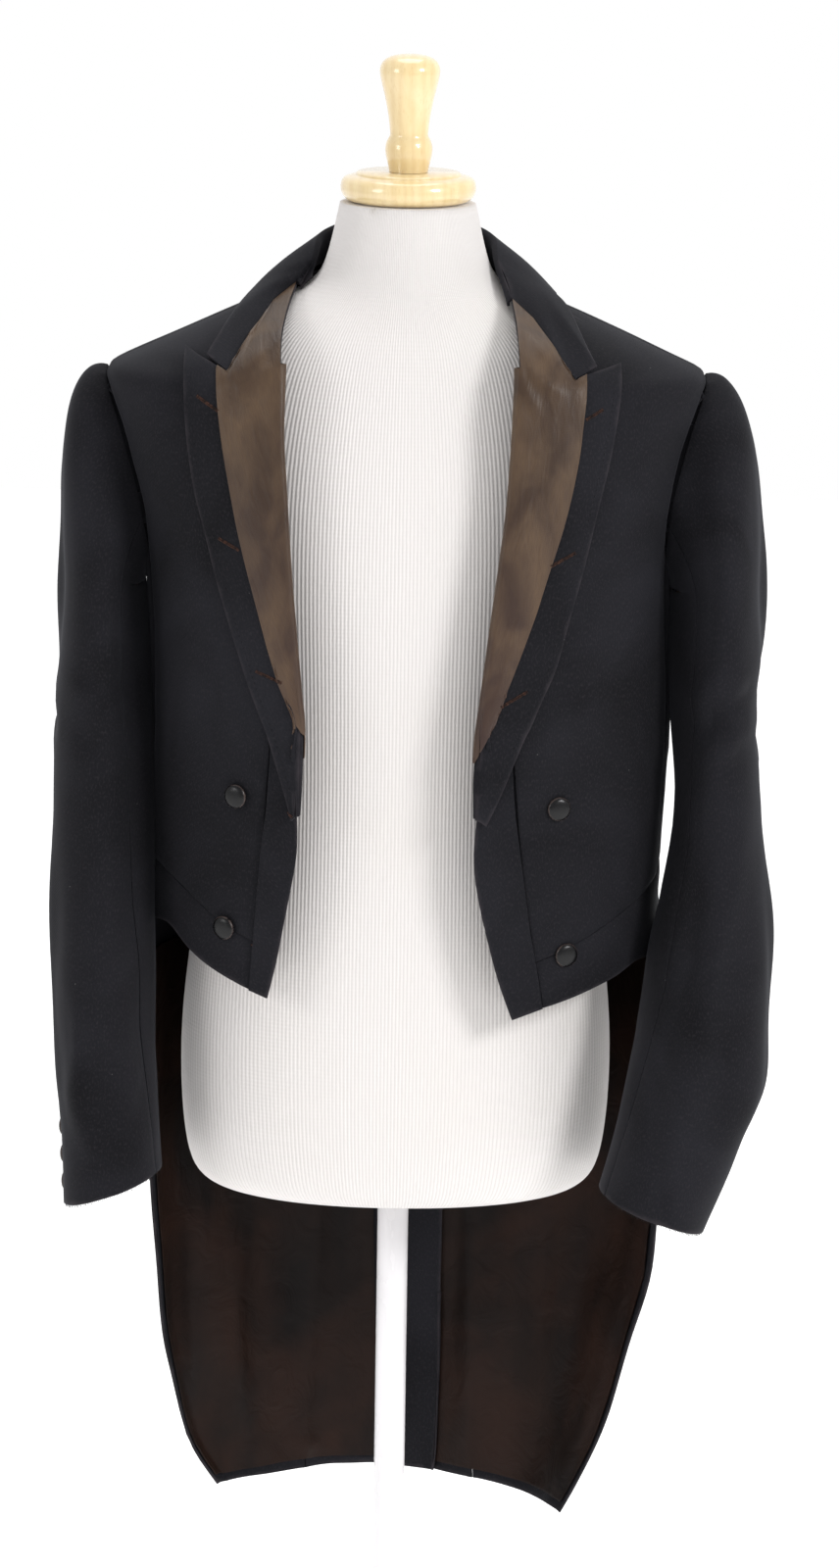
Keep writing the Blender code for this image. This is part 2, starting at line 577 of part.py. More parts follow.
def make_forepart(side, name, collection):
    """Chest piece from the lapel seam to the side seam and shoulder."""
    shoulder = (np.array(SHOULDER_ROWS[::-1]) - ARM_TOP) / (NECK_SIDE - ARM_TOP)
    levels = np.array([0.0, 0.10, 0.21, 0.32, 0.43, 0.54, 0.595, 0.65, 0.71, 0.77, 0.82, 0.865])
    levels = np.concatenate([levels, 0.90 + 0.10 * shoulder])
    shares = np.array([0.0, 0.10, 0.20, 0.32, 0.45, 0.58, 0.70, 0.80, 0.89, 0.95, 1.0])
    r, c = np.meshgrid(levels, shares, indexing="ij")
    low = along(WAIST[side], c)
    high = NECK_FRONT + (NECK_SIDE - NECK_FRONT) * c ** 0.8
    top = ARM_TOP
    split = 0.90
    height = np.where(r < split, low + (top - low) * r / split, top + (high - top) * (r - split) / (1 - split))
    start = front_angle(along(STRIP_SEAM[side], height), height, side)
    angle = start + (forepart_side(height) - start) * c
    grid, out = patch(side, angle, height)
    return cloth_piece(name, [grid], CLOTH, "black_wool", collection, [out])


def make_sidebody(side, name, collection):
    """Narrow panel under the arm between the side seam and the back seam."""
    seam_rows = np.array([h for h in back_heights()[::-1] if WAIST_BACK <= h <= ARMHOLE[BACK_ARM, 1]])
    levels = (seam_rows - seam_rows[0]) / (seam_rows[-1] - seam_rows[0])
    shares = np.linspace(0.0, 1.0, 8)
    r, c = np.meshgrid(levels, shares, indexing="ij")
    low = WAIST[side][-1, 1] + (WAIST_BACK - WAIST[side][-1, 1]) * c
    height = low + (1.13 - low) * r
    for _ in range(12):
        angle = SIDE_SEAM + (back_side(height, side) - SIDE_SEAM) * c
        height = low + (armhole_height(angle) - low) * r
    grid, out = patch(side, angle, height)
    return cloth_piece(name, [grid], CLOTH, "black_wool", collection, [out])


def underlap_normal(x, height):
    """Outward direction of the vent underlap, straight back at the middle."""
    lean = normals_of(cloth_surface, back_angle(np.maximum(np.abs(x), 0.012), height, 1), height, 1)
    back = np.zeros_like(lean)
    back[..., 1] = 1.0
    share = np.clip(x / UNDERLAP, 0.0, 1.0)[..., None] ** 0.5
    return unit(back * (1.0 - share) + lean * share)


def underlap_point(side, x, height):
    """A point of the vent underlap, which lies inside the other tail."""
    across = cloth_surface(back_angle(np.abs(x), height, 1), height, 1)
    own = cloth_surface(back_angle(np.abs(x), height, side), height, side)
    point = np.where((x > 0)[..., None], across, own)
    point[..., 0] = x
    out = underlap_normal(x, height)
    step = np.clip((x + 0.016) / 0.014, 0.0, 1.0)
    step = step * step * (3.0 - 2.0 * step)
    drop = np.clip((VENT_TOP - height) / (VENT_TOP - VENT_FULL), 0.0, 1.0)
    return point - out * ((CLOTH + LINING + 7 * LAYER) * step * drop)[..., None]


def back_heights():
    """Rows of the back panel from the neck down to the hem."""
    upper = list(SHOULDER_ROWS) + [1.2520, 1.2350, 1.2100, 1.1850,
             ARMHOLE[BACK_ARM, 1], 1.1400, 1.1050, 1.0600, 1.0150, 0.9700, 0.9300, WAIST_BACK,
             VENT_TOP, 0.8600, 0.8300]
    return np.array(upper + [STRAP_LEVEL] + list(TAIL_ROWS) + [HEM])


def make_back(side, name, collection):
    """Back panel cut in one with the inner part of the tail."""
    rows = back_heights()
    shares = np.array([0.0, 0.10, 0.28, 0.50, 0.72, 0.90, 1.0])
    h, c = np.meshgrid(rows, shares, indexing="ij")
    edge = back_side(h, side)
    tail = back_angle(along(BACK_SEAM, h), h, side)
    edge = np.where(h < WAIST_BACK, tail, edge)
    angle = 180.0 + (edge - 180.0) * c
    h = np.where(rows[:, None] == NECK_SIDE, NECK_SIDE + 0.004 * (1 - c), h)
    grid, out = patch(side, angle, h)
    if side > 0:
        return cloth_piece(name, [grid], CLOTH, "black_wool", collection, [out])
    below = rows <= VENT_FULL
    first = int(np.argmax(below))
    grid[first:, 0] = underlap_point(side, 0.0 * rows[below], rows[below])
    grid[first:, 1] = underlap_point(side, grid[first:, 1, 0], rows[below])
    hu, xu = np.meshgrid(rows[below], np.array([0.0, 0.013, 0.027, UNDERLAP]), indexing="ij")
    lap = underlap_point(side, xu, hu)
    lap[-1] = lap[-1] + unit(lap[-2] - lap[-1]) * SEAM
    lap[0] = lap[0] + unit(lap[1] - lap[0]) * SEAM
    lap[:, 0] = grid[first:, 0]
    lap[-1, 0] = lap[-1, 0] + unit(lap[-2, 0] - lap[-1, 0]) * SEAM
    grid[-1, 0] = lap[-1, 0]
    lap_out = underlap_normal(xu, hu)
    out[first:, 0] = lap_out[:, 0]
    return cloth_piece(name, [grid, lap[:, ::-1]], CLOTH, "black_wool", collection, [out, lap_out])


def tail_angles(side, heights, shares):
    """Angles across the outer part of a tail from the pleat to its front edge."""
    h, c = np.meshgrid(heights, shares, indexing="ij")
    seam = back_angle(along(BACK_SEAM, h), h, side)
    return seam + (90.0 - seam) * c, h


def waist_level(side, angle, start, back):
    """Height of the waist seam at an angle, under the forepart and then the side body."""
    corner = along(WAIST[side], 1.0)
    front = along(WAIST[side], (angle - start) / (SIDE_SEAM - start))
    rear = corner + (WAIST_BACK - corner) * (angle - SIDE_SEAM) / (back - SIDE_SEAM)
    return np.where(angle < SIDE_SEAM, front, rear)


def make_skirt(side, name, collection):
    """Strap under the waist seam in one with the outer part of the tail."""
    tail_shares = np.array([0.0, 0.05, 0.13, 0.22, 0.31, 0.40, 0.49, 0.58, 0.67, 0.76, 0.84, 0.92, 1.0])
    angle, h = tail_angles(side, np.array([STRAP_LEVEL] + list(TAIL_ROWS) + [HEM]), tail_shares)
    band = np.array([0.0, 0.35, 0.70])
    r, c = np.meshgrid(band, tail_shares, indexing="ij")
    back = float(back_side(np.array(WAIST_BACK), side))
    top = waist_level(side, back + (90.0 - back) * c, 0.0, back)
    band_h = top + (STRAP_LEVEL - top) * r
    seam = back_angle(along(BACK_SEAM, band_h), band_h, side)
    band_angle = seam + (90.0 - seam) * c
    angle = np.vstack([band_angle, angle])
    h = np.vstack([band_h, h])
    main = cloth_surface(angle, h, side)
    main_out = normals_of(cloth_surface, angle, h, side)
    strap_r = np.array([0.0, 0.35, 0.70, 1.0])
    strap_c = np.array([1.0, 0.93, 0.85, 0.72, 0.58, 0.44, 0.30, 0.15, 0.0])
    rs, cs = np.meshgrid(strap_r, strap_c, indexing="ij")
    low = along(STRAP_HEM[side], cs)
    high = along(WAIST[side], cs)
    for _ in range(12):
        begin = front_angle(along(STRIP_SEAM[side], high), high, side)
        high = waist_level(side, begin + (90.0 - begin) * cs, begin, back)
    strap_h = high + (low - high) * rs
    begin = front_angle(along(STRIP_SEAM[side], strap_h), strap_h, side)
    strap_angle = begin + (90.0 - begin) * cs
    strap = cloth_surface(strap_angle, strap_h, side)
    strap_out = normals_of(cloth_surface, strap_angle, strap_h, side)
    strap[:, 0] = main[:4, -1]
    main = inset(main, "ws")
    main[-1] += unit(main[-2] - main[-1]) * SEAM
    strap = inset(strap, "se")
    strap[:, 0] = main[:4, -1]
    return cloth_piece(name, [main, strap], CLOTH, "black_wool", collection, [main_out, strap_out])


def make_tail_lining(side, name, collection):
    """Lining on the inside of a tail, made from the tail's own points moved in."""
    rows = np.array([STRAP_LEVEL] + list(TAIL_ROWS) + [HEM])
    inner = np.array([0.28, 0.50, 0.72, 0.90, 1.0])
    h, c = np.meshgrid(rows, inner, indexing="ij")
    seam = back_angle(along(BACK_SEAM, h), h, side)
    first = 180.0 + (seam - 180.0) * c
    outer = np.array([0.05, 0.13, 0.22, 0.31, 0.40, 0.49, 0.58, 0.67, 0.76, 0.84, 0.92, 1.0])
    second, _ = tail_angles(side, rows, outer)
    angle = np.hstack([first, second])
    h = np.hstack([h, np.repeat(rows[:, None], len(outer), axis=1)])
    out = normals_of(cloth_surface, angle, h, side)
    grid = cloth_surface(angle, h, side) - out * (CLOTH + 2 * LAYER)
    grid = inset(grid, "e", 0.0085)
    grid[-1] += unit(grid[-2] - grid[-1]) * 0.0075
    return cloth_piece(name, [grid], LINING, "brown_lining", collection, [out])


def lapel_rows(side):
    """Guide rows of the turned lapel with the gorge shape worked into the last ones."""
    table = LAPEL[side]
    gorge = GORGE[side]
    roll_x = along(EDGE[side], table[:, 0])
    grid = np.zeros((len(table), 7, 2))
    shares = np.array([0.0, 0.30, 0.62, 0.88, 1.0])
    for i, (roll_z, silk_z, silk_x, free_z, free_x) in enumerate(table):
        for j, s in enumerate(shares):
            grid[i, j] = (roll_x[i] + (silk_x - roll_x[i]) * s, roll_z + (silk_z - roll_z) * s)
        for j, s in ((5, 0.5), (6, 1.0)):
            grid[i, j] = (silk_x + (free_x - silk_x) * s, silk_z + (free_z - silk_z) * s)
    target = gorge[:, ::-1]
    change = target - grid[-1]
    for i in range(len(table)):
        weight = np.clip((i - (len(table) - 5)) / 4.0, 0.0, 1.0) ** 1.6
        grid[i] += change * weight
    return grid


def lift_at(share, row_share):
    """Lift of the turned lapel, more near the neck."""
    return along(LAPEL_LIFT, share) + 0.0058 * np.clip((row_share - 0.65) / 0.35, 0.0, 1.0)


def lapel_sheet(side):
    """Middle surface of the turned part, fold columns and under part of the lapel."""
    guide = lapel_rows(side)
    count = len(guide)
    shares = np.array([0.0, 0.16, 0.33, 0.47, 0.55, 0.78, 1.0])
    over = np.zeros((count, 7, 3))
    for i in range(count):
        lift = lift_at(shares, i / (count - 1))
        x = guide[i, :, 0].copy()
        z = guide[i, :, 1]
        x[0] += FOLD_RADIUS
        over[i] = np.stack([side * x, front_y(x, z, side) - lift, z], axis=-1)
    return over


def lapel_grids(side):
    """Turned part, fold and under part of the lapel strip."""
    over = lapel_sheet(side)
    count = len(over)
    fold_rows = [i for i in range(count) if LAPEL[side][i, 0] <= NECK_FRONT]
    turns = np.radians([90.0, 150.0, 210.0, 270.0])
    fold = np.zeros((len(fold_rows), len(turns), 3))
    for k, i in enumerate(fold_rows):
        z = LAPEL[side][i, 0]
        x = along(EDGE[side], z)
        upper = lift_at(0.0, i / (count - 1))
        middle = (upper - CLOTH / 2) / 2
        reach = (upper + CLOTH / 2) / 2
        across = x + FOLD_RADIUS + FOLD_RADIUS * np.cos(turns)
        rise = middle + reach * np.sin(turns)
        base = front_y(across, z + 0.0 * across, side)
        fold[k] = np.stack([side * across, base - rise, z + 0.0 * across], axis=-1)
    fold[:, 0] = over[:len(fold_rows), 0]
    low_rows = (0.0, 0.20, 0.40, 0.60, 0.80)
    under = []
    shares = np.array([0.0, 0.35, 0.70, 1.0])
    first = LAPEL[side][0, 0]
    for r in low_rows:
        point_z = EDGE[side][0, 0] + (first - EDGE[side][0, 0]) * r
        seam_low = along(STRAP_HEM[side], 0.0)
        seam_z = seam_low + (first - seam_low) * r
        z = point_z + (seam_z - point_z) * shares
        edge_x = along(EDGE[side], point_z)
        x = edge_x + (along(STRIP_SEAM[side], seam_z) - edge_x) * shares
        under.append(np.stack([side * x, front_y(x, z, side) + CLOTH / 2, z], axis=-1))
    for k, i in enumerate(fold_rows):
        z = LAPEL[side][i, 0]
        start = fold[k, -1, 0] * side
        x = start + (along(STRIP_SEAM[side], z) - 0.0016 - start) * shares
        under.append(np.stack([side * x, front_y(x, z + 0.0 * x, side) + CLOTH / 2, z + 0.0 * x], axis=-1))
    under = np.array(under)
    under[:, -1] += unit(under[:, -2] - under[:, -1]) * 2 * SEAM
    under[0] += unit(under[1] - under[0]) * SEAM
    fold[:, -1] = under[len(low_rows):, 0]
    over[-1] += unit(over[-2] - over[-1]) * 3 * SEAM
    return over[:, ::-1], fold, under


def gorge_leans(side):
    """Directions shared by the lapel and the collar along the gorge seam."""
    grids = lapel_grids(side)
    points, faces, index = sheet_of(grids)
    lapel_out = point_normals(points, faces)
    collar = collar_grid()
    points, faces, collar_index = sheet_of([collar])
    collar_out = point_normals(points, faces)
    end = collar[-1] if side > 0 else collar[0]
    pairs = []
    for k in range(5):
        ours = grids[0][-1, 6 - k]
        theirs = end[4 + k]
        a = lapel_out[index[key_of(ours)]]
        b = collar_out[collar_index[key_of(theirs)]]
        if np.dot(a, b) < 0:
            b = -b
        pairs.append((ours, theirs, unit(a + b)))
    return pairs


def make_lapel(side, name, collection):
    """Sewn-on lapel strip: flat below, folded over at the roll line above."""
    shared = [(ours, lean) for ours, _, lean in gorge_leans(side)]
    return cloth_piece(name, lapel_grids(side), CLOTH, "black_wool", collection, None, True, shared)


def make_silk(side, name, collection):
    """Silk facing made from the turned lapel's points moved out."""
    grids = lapel_grids(side)
    over = grids[0]
    points, faces, index = sheet_of(grids)
    out = point_normals(points, faces)
    if out[:len(points) // 3, 1].mean() > 0:
        out = -out
    lean = np.array([[out[index[key_of(point)]] for point in row] for row in over])
    for ours, _, shared in gorge_leans(side):
        at = np.argmin(np.linalg.norm(over[-1] - ours, axis=1))
        lean[-1, at] = shared if np.dot(shared, lean[-1, at]) > 0 else -shared
    first = SILK_START[side]
    silk = (over + lean * (CLOTH / 2 + 2 * LAYER + SILK))[first:, 2:]
    silk = inset(silk, "n", 5 * SEAM)
    return cloth_piece(name, [silk], SILK, "brown_silk", collection, [lean[first:, 2:]])


def collar_station(side, row):
    """Cross-section of the collar from the stand's foot over the fold to the outer edge."""
    angle, height, fold_x, fold_y, fold_z, foot_x, foot_y, foot_z = row
    a, h = np.array([angle]), np.array([height])
    out = normals_of(bare_surface, a, h, side)[0]
    edge = bare_surface(a, h, side)[0] + out * COLLAR_LIFT
    fold = np.array([side * fold_x, fold_y, fold_z])
    foot = np.array([side * foot_x, foot_y, foot_z])
    away = unit(np.array([edge[0] - foot[0], edge[1] - foot[1], 0.0]))
    inside = fold - away * 0.0022 + np.array([0, 0, -0.0020])
    outside = fold + away * 0.0024 + np.array([0, 0, -0.0016])
    line = [foot, (foot + inside) / 2, inside, fold, outside]
    for s in (0.25, 0.5, 0.75):
        bulge = 0.0022 * math.sin(math.pi * s)
        line.append(outside + (edge - outside) * s + bulge * unit(away + np.array([0, 0, 0.9])))
    line.append(edge)
    return np.array(line)


def collar_end(side):
    """Last two stations of the collar at the gorge seam and notch."""
    gorge = GORGE[side]
    (end_z, end_x), _ = COLLAR_END[side]
    zs = np.array([gorge[0, 0], gorge[1, 0], gorge[2, 0], gorge[3, 0], end_z])
    xs = np.array([gorge[0, 1], gorge[1, 1], gorge[2, 1], gorge[3, 1], end_x])
    xs[0] += FOLD_RADIUS
    lift = lift_at(np.array([0.0, 0.16, 0.33, 0.47, 0.69]), 1.0)
    fall = np.stack([side * xs, front_y(xs, zs, side) - lift, zs], axis=-1)
    head = fall[0]
    inside = head + np.array([-side * 0.0030, 0.0030, -0.0024])
    foot = inside + np.array([side * 0.0005, 0.0010, -0.0030])
    last = np.vstack([foot, (foot + inside) / 2, inside, head + np.array([0, 0, 0.0006]), fall])
    return last


def collar_grid():
    """Stations of the collar from the right notch to the left one."""
    halves = {}
    for side in (1, -1):
        stations = [collar_station(side, row) for row in COLLAR[side]]
        last = collar_end(side)
        _, (near_z, near_x) = COLLAR_END[side]
        y = front_y(np.array(near_x), np.array(near_z), side) - 0.0095
        edge = np.array([side * near_x, y, near_z])
        previous = stations[-1]
        middle = (previous + last) / 2
        middle[-1] = edge
        for k, s in ((5, 0.25), (6, 0.5), (7, 0.75)):
            middle[k] = middle[4] + (edge - middle[4]) * s + np.array([side * 0.0010, -0.0022, 0.0032])
        stations += [middle, last]
        halves[side] = np.array(stations)
    grid = np.vstack([halves[-1][::-1], halves[1][1:]])
    return inset(grid, "sn", 4 * SEAM)


def make_collar(name, collection):
    """Folded collar band, one piece from notch to notch."""
    shared = [(theirs, lean) for side in (1, -1) for _, theirs, lean in gorge_leans(side)]
    return cloth_piece(name, [collar_grid()], CLOTH, "black_wool", collection, None, True, shared)


def resample(line, count):
    """Points evenly spaced on a closed line."""
    step = np.linalg.norm(np.diff(line, axis=0), axis=1)
    run = np.concatenate([[0.0], np.cumsum(step)])
    at = np.linspace(0.0, run[-1], count + 1)[:-1]
    return np.stack([np.interp(at, run, line[:, k]) for k in range(3)], axis=-1)


def sleeve_ring(side, height, turn):
    """Points of a sleeve ring; turn 0 outside, 90 in front, 180 toward the body."""
    table = SLEEVE[side]
    outer, inner, front, back = (along(table, height, k) for k in (1, 2, 3, 4))
    twist = along(table, height, 5)
    t = np.radians(turn + twist)
    half_x = (outer - inner) / 2
    half_y = (back - front) / 2
    c, s = np.cos(t), np.sin(t)
    x = (outer + inner) / 2 + half_x * np.sign(c) * np.abs(c) ** 0.92
    y = (front + back) / 2 - half_y * np.sign(s) * np.abs(s) ** 0.92
    return np.stack([side * x, y, height + 0.0 * x], axis=-1)


def sleeve_grid(side):
    """Rings of a sleeve from the armhole down to the cuff."""
    turn = np.arange(SLEEVE_POINTS) * 360.0 / SLEEVE_POINTS
    edge = cloth_surface(ARMHOLE[:, 0], ARMHOLE[:, 1], side)
    start = resample(edge, SLEEVE_POINTS)
    centre = start.mean(axis=0)
    radial = start - centre
    radial[:, 0] = 0.0
    start = start - unit(radial) * 0.0004
    start[:, 0] += side * 0.0008
    finish_ring = sleeve_ring(side, SLEEVE_TOP_ROW + 0.0 * turn, turn)
    outness = 0.5 + 0.5 * np.cos(np.radians(turn))
    length = np.linalg.norm(finish_ring - start, axis=1)
    leave = np.stack([side * (0.25 + 0.75 * outness), -0.25 * np.sin(np.radians(turn)),
                      0.15 * outness - 0.85 * (1 - outness)], axis=-1)
    leave = unit(leave) * (length * 0.75)[:, None]
    arrive = np.stack([0 * turn, 0 * turn, -length * 1.0], axis=-1)
    rows = [start]
    for s in (0.12, 0.28, 0.45, 0.63, 0.82):
        a = 2 * s ** 3 - 3 * s ** 2 + 1
        b = s ** 3 - 2 * s ** 2 + s
        c = -2 * s ** 3 + 3 * s ** 2
        d = s ** 3 - s ** 2
        rows.append(a * start + b * leave + c * finish_ring + d * arrive)
    rows.append(finish_ring)
    for height in SLEEVE_ROWS:
        rows.append(sleeve_ring(side, height + 0.0 * turn, turn))
    mean, toward, ahead = CUFF[side]
    twist = along(SLEEVE[side], mean, 5)
    t = np.radians(turn + twist)
    hem = mean - toward * np.cos(t) + ahead * np.sin(t)
    rows.append(sleeve_ring(side, hem, turn))
    return np.array(rows)


def make_sleeve(side, names, collection):
    """Top sleeve and under sleeve."""
    grid = sleeve_grid(side)
    closed = np.concatenate([grid, grid[:, :1]], axis=1)
    points, faces, index = sheet_of([closed])
    out = point_normals(points, faces)
    middle = points.mean(axis=0)
    if np.einsum("ij,ij->i", out, points - middle).sum() < 0:
        out = -out
    normal = np.zeros_like(grid)
    for i in range(grid.shape[0]):
        for j in range(grid.shape[1]):
            normal[i, j] = out[index[key_of(grid[i, j])]]
    top = [j % SLEEVE_POINTS for j in range(-HIND_SEAM, FRONT_SEAM + 1)]
    under = [j % SLEEVE_POINTS for j in range(FRONT_SEAM, SLEEVE_POINTS - HIND_SEAM + 1)]
    first = None
    for name, columns in zip(names, (top, under)):
        piece = inset(grid[:, columns], "we")
        made = cloth_piece(name, [piece], CLOTH, "black_wool", collection, [normal[:, columns]])
        first = made if name == names[0] else first
    return first


def turned(name, profile, steps, finish_name, collection):
    """A solid turned about the vertical axis from a top-to-bottom profile."""
    mesh = bpy.data.meshes.new(name)
    mesh.from_pydata([(r, 0.0, z) for r, z in profile], [(k, k + 1) for k in range(len(profile) - 1)], [])
    made = bpy.data.objects.new(name, mesh)
    collection.objects.link(made)
    screw = made.modifiers.new("turn", "SCREW")
    screw.axis = "Z"
    screw.angle = math.radians(360.0)
    screw.steps = steps
    screw.render_steps = steps
    screw.use_merge_vertices = True
    screw.merge_threshold = 0.00005
    screw.use_normal_calculate = False
    made.data.materials.append(finish(finish_name))
    return made


def placed_button(name, place, normal, radius, height, collection):
    """A low domed button with its flat back at a place on the cloth."""
    profile = (
        (0.0, height), (radius * 0.55, height * 0.94), (radius * 0.88, height * 0.66),
        (radius, height * 0.30), (radius * 0.93, 0.0), (0.0, 0.0),
    )
    made = turned(name, profile, BUTTON_STEPS, "worn_satin", collection)
    made.rotation_euler = Vector(normal).to_track_quat("Z", "Y").to_euler()
    made.location = Vector(place)
    return made


def rest_on(cloth, place, normal, radius):
    """Where a button's flat back just clears the cloth under it."""
    corners = [tuple(v.co) for v in cloth.data.vertices]
    tree = BVHTree.FromPolygons(corners, [tuple(f.vertices) for f in cloth.data.polygons])
    n = unit(np.asarray(normal, float))
    across = unit(np.cross(n, np.array([0.0, 0.0, 1.0])))
    up = np.cross(across, n)
    rise = None
    for k in range(48):
        t = 2 * math.pi * (k % 12) / 12
        reach = radius * (k // 12) / 3
        start = place + across * reach * math.cos(t) + up * reach * math.sin(t) + n * 0.02
        hit = tree.ray_cast(Vector(start), Vector(-n), 0.06)[0]
        if hit is not None:
            height = float(np.dot(np.array(hit) - place, n))
            rise = height if rise is None else max(rise, height)
    return place + n * (rise + 1.25 * LAYER)


def make_form(collection):
    """Smooth limbless torso with a short neck."""
    turns = np.linspace(0.0, 2 * math.pi, FORM_POINTS, endpoint=False)
    points, faces = [], []
    for height, wide, front, back, square in FORM:
        c, s = np.cos(turns), np.sin(turns)
        deep = np.where(c > 0, front, back)
        x = wide * np.sign(s) * np.abs(s) ** (2 / square)
        y = -deep * np.sign(c) * np.abs(c) ** (2 / square)
        points += [(a, b, height) for a, b in zip(x, y)]
    count = FORM_POINTS
    for i in range(len(FORM) - 1):
        for k in range(count):
            n = (k + 1) % count
            faces.append([i * count + k, i * count + n, (i + 1) * count + n, (i + 1) * count + k])
    for i, order in ((0, -1), (len(FORM) - 1, 1)):
        points.append((0.0, 0.0, FORM[i, 0]))
        hub = len(points) - 1
        for k in range(count):
            n = (k + 1) % count
            tri = [i * count + k, i * count + n, hub]
            faces.append(tri if order > 0 else tri[::-1])
    return add_object("form_torso", points, faces, "pale_knit", collection)


def main():
    """Build every piece into one collection."""
    clear_scene()
    coat = bpy.data.collections.new("tailcoat_on_dress_form")
    bpy.context.scene.collection.children.link(coat)
    for side, word in ((1, "left"), (-1, "right")):
        forepart = make_forepart(side, f"forepart_{word}", coat)
        make_sidebody(side, f"sidebody_{word}", coat)
        back = make_back(side, f"back_{word}", coat)
        skirt = make_skirt(side, f"skirt_{word}", coat)
        make_tail_lining(side, f"tail_lining_{word}", coat)
        make_lapel(side, f"lapel_{word}", coat)
        make_silk(side, f"silk_{word}", coat)
        sleeve = make_sleeve(side, (f"topsleeve_{word}", f"undersleeve_{word}"), coat)
        for k, (height, turn) in enumerate(CUFF_BUTTONS):
            twist = along(SLEEVE[side], height, 5)
            spot = np.array([turn - twist - 4.0, turn - twist, turn - twist + 4.0])
            ring = sleeve_ring(side, height + 0.0 * spot, spot)
            above = sleeve_ring(side, height + 0.010 + 0.0 * spot, spot)
            n = unit(np.cross(ring[2] - ring[0], above[1] - ring[1])) * -side
            n = n * np.sign(n[0] * side)
            place = rest_on(sleeve, ring[1], n, CUFF_BUTTON_RADIUS)
            placed_button(f"cuff_button_{word}_{k + 1}", place, n, CUFF_BUTTON_RADIUS,
                          CUFF_BUTTON_HEIGHT, coat)
        h = np.array([WAIST_BACK + 0.004])
        x = along(BACK_SEAM, h) - 0.002
        a = back_angle(x, h, side)
        n = normals_of(cloth_surface, a, h, side)[0]
        place = rest_on(back, cloth_surface(a, h, side)[0], n, BUTTON_RADIUS)
        placed_button(f"waist_button_{word}", place, n, BUTTON_RADIUS, BUTTON_HEIGHT, coat)
        for which, height, x in FRONT_BUTTONS:
            if which != side:
                continue
            level, cloth = ("upper", forepart) if height > 0.9 else ("lower", skirt)
            h = np.array([height])
            a = front_angle(np.array([x]), h, side)
            n = normals_of(cloth_surface, a, h, side)[0]
            spot = cloth_surface(a, h, side)[0]
            place = rest_on(cloth, spot, n, BUTTON_RADIUS)
            if cloth is skirt:
                above = rest_on(forepart, spot, n, BUTTON_RADIUS)
                place = max(place, above, key=lambda q: float(np.dot(q, n)))
            placed_button(f"front_button_{word}_{level}", place, n, BUTTON_RADIUS, BUTTON_HEIGHT, coat)
    make_collar("collar", coat)
    make_form(coat)
    turned("neck_cap", CAP_PROFILE, 28, "pale_maple", coat)
    turned("finial", FINIAL_PROFILE, 22, "pale_maple", coat)
    turned("pole", ((0.0, POLE_HIGH - 0.0003), (POLE_RADIUS, POLE_HIGH - 0.0003),
                    (POLE_RADIUS, HUB_HIGH + 0.0003), (0.0, HUB_HIGH + 0.0003)), 24, "white_paint", coat)
    turned("base_hub", ((0.0, HUB_HIGH), (0.0150, HUB_HIGH), (0.0200, 0.0560), (0.0225, 0.0300),
                        (HUB_RADIUS, BASE_HIGH + 0.0003), (0.0, BASE_HIGH + 0.0003)), 28, "white_paint", coat)
    turned("base", ((0.0, BASE_HIGH), (0.0600, BASE_HIGH), (BASE_RADIUS - 0.004, 0.0090),
                    (BASE_RADIUS, BASE_EDGE), (BASE_RADIUS, 0.0), (0.0, 0.0)), 40, "white_paint", coat)


main()
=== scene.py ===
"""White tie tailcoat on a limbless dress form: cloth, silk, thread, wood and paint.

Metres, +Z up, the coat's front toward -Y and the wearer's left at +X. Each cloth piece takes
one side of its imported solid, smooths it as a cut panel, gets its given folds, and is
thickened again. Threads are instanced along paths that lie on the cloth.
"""

import logging
import math
from dataclasses import dataclass, field
from enum import Enum

import bmesh
import bpy
import numpy as np
from mathutils import Matrix, Vector
from mathutils.bvhtree import BVHTree
from mathutils.kdtree import KDTree


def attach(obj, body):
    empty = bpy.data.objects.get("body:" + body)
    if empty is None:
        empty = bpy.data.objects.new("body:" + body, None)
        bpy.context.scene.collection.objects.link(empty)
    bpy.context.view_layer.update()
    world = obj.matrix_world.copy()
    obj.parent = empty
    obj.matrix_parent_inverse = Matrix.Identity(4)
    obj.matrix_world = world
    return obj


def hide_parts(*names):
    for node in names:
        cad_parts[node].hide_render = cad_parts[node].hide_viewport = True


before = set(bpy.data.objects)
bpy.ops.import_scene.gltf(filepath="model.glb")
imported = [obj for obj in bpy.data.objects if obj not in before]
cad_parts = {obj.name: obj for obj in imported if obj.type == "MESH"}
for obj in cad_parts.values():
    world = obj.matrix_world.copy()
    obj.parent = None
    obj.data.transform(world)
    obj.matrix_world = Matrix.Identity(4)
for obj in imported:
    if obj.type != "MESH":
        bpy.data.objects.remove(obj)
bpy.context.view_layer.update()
log = logging.getLogger("tailcoat")

# Walls of the cloth pieces, as in their solids
CLOTH = 0.0020
LINING = 0.0010
SILK_SOLID = 0.0010

# Image size of the photograph, and metres a pixel at the stand's axis
IMAGE_LONG = 1600
METRES_A_PIXEL = 0.000755


def linear(code: str) -> tuple[float, float, float, float]:
    """Turn an sRGB hex colour into linear values.

    Args:
        code: Colour such as "#1b1b1f".

    Returns:
        Red, green, blue and alpha from 0 to 1.
    """
    parts = [int(code[k:k + 2], 16) / 255 for k in (1, 3, 5)]
    return (*[p / 12.92 if p <= 0.04045 else ((p + 0.055) / 1.055) ** 2.4 for p in parts], 1.0)


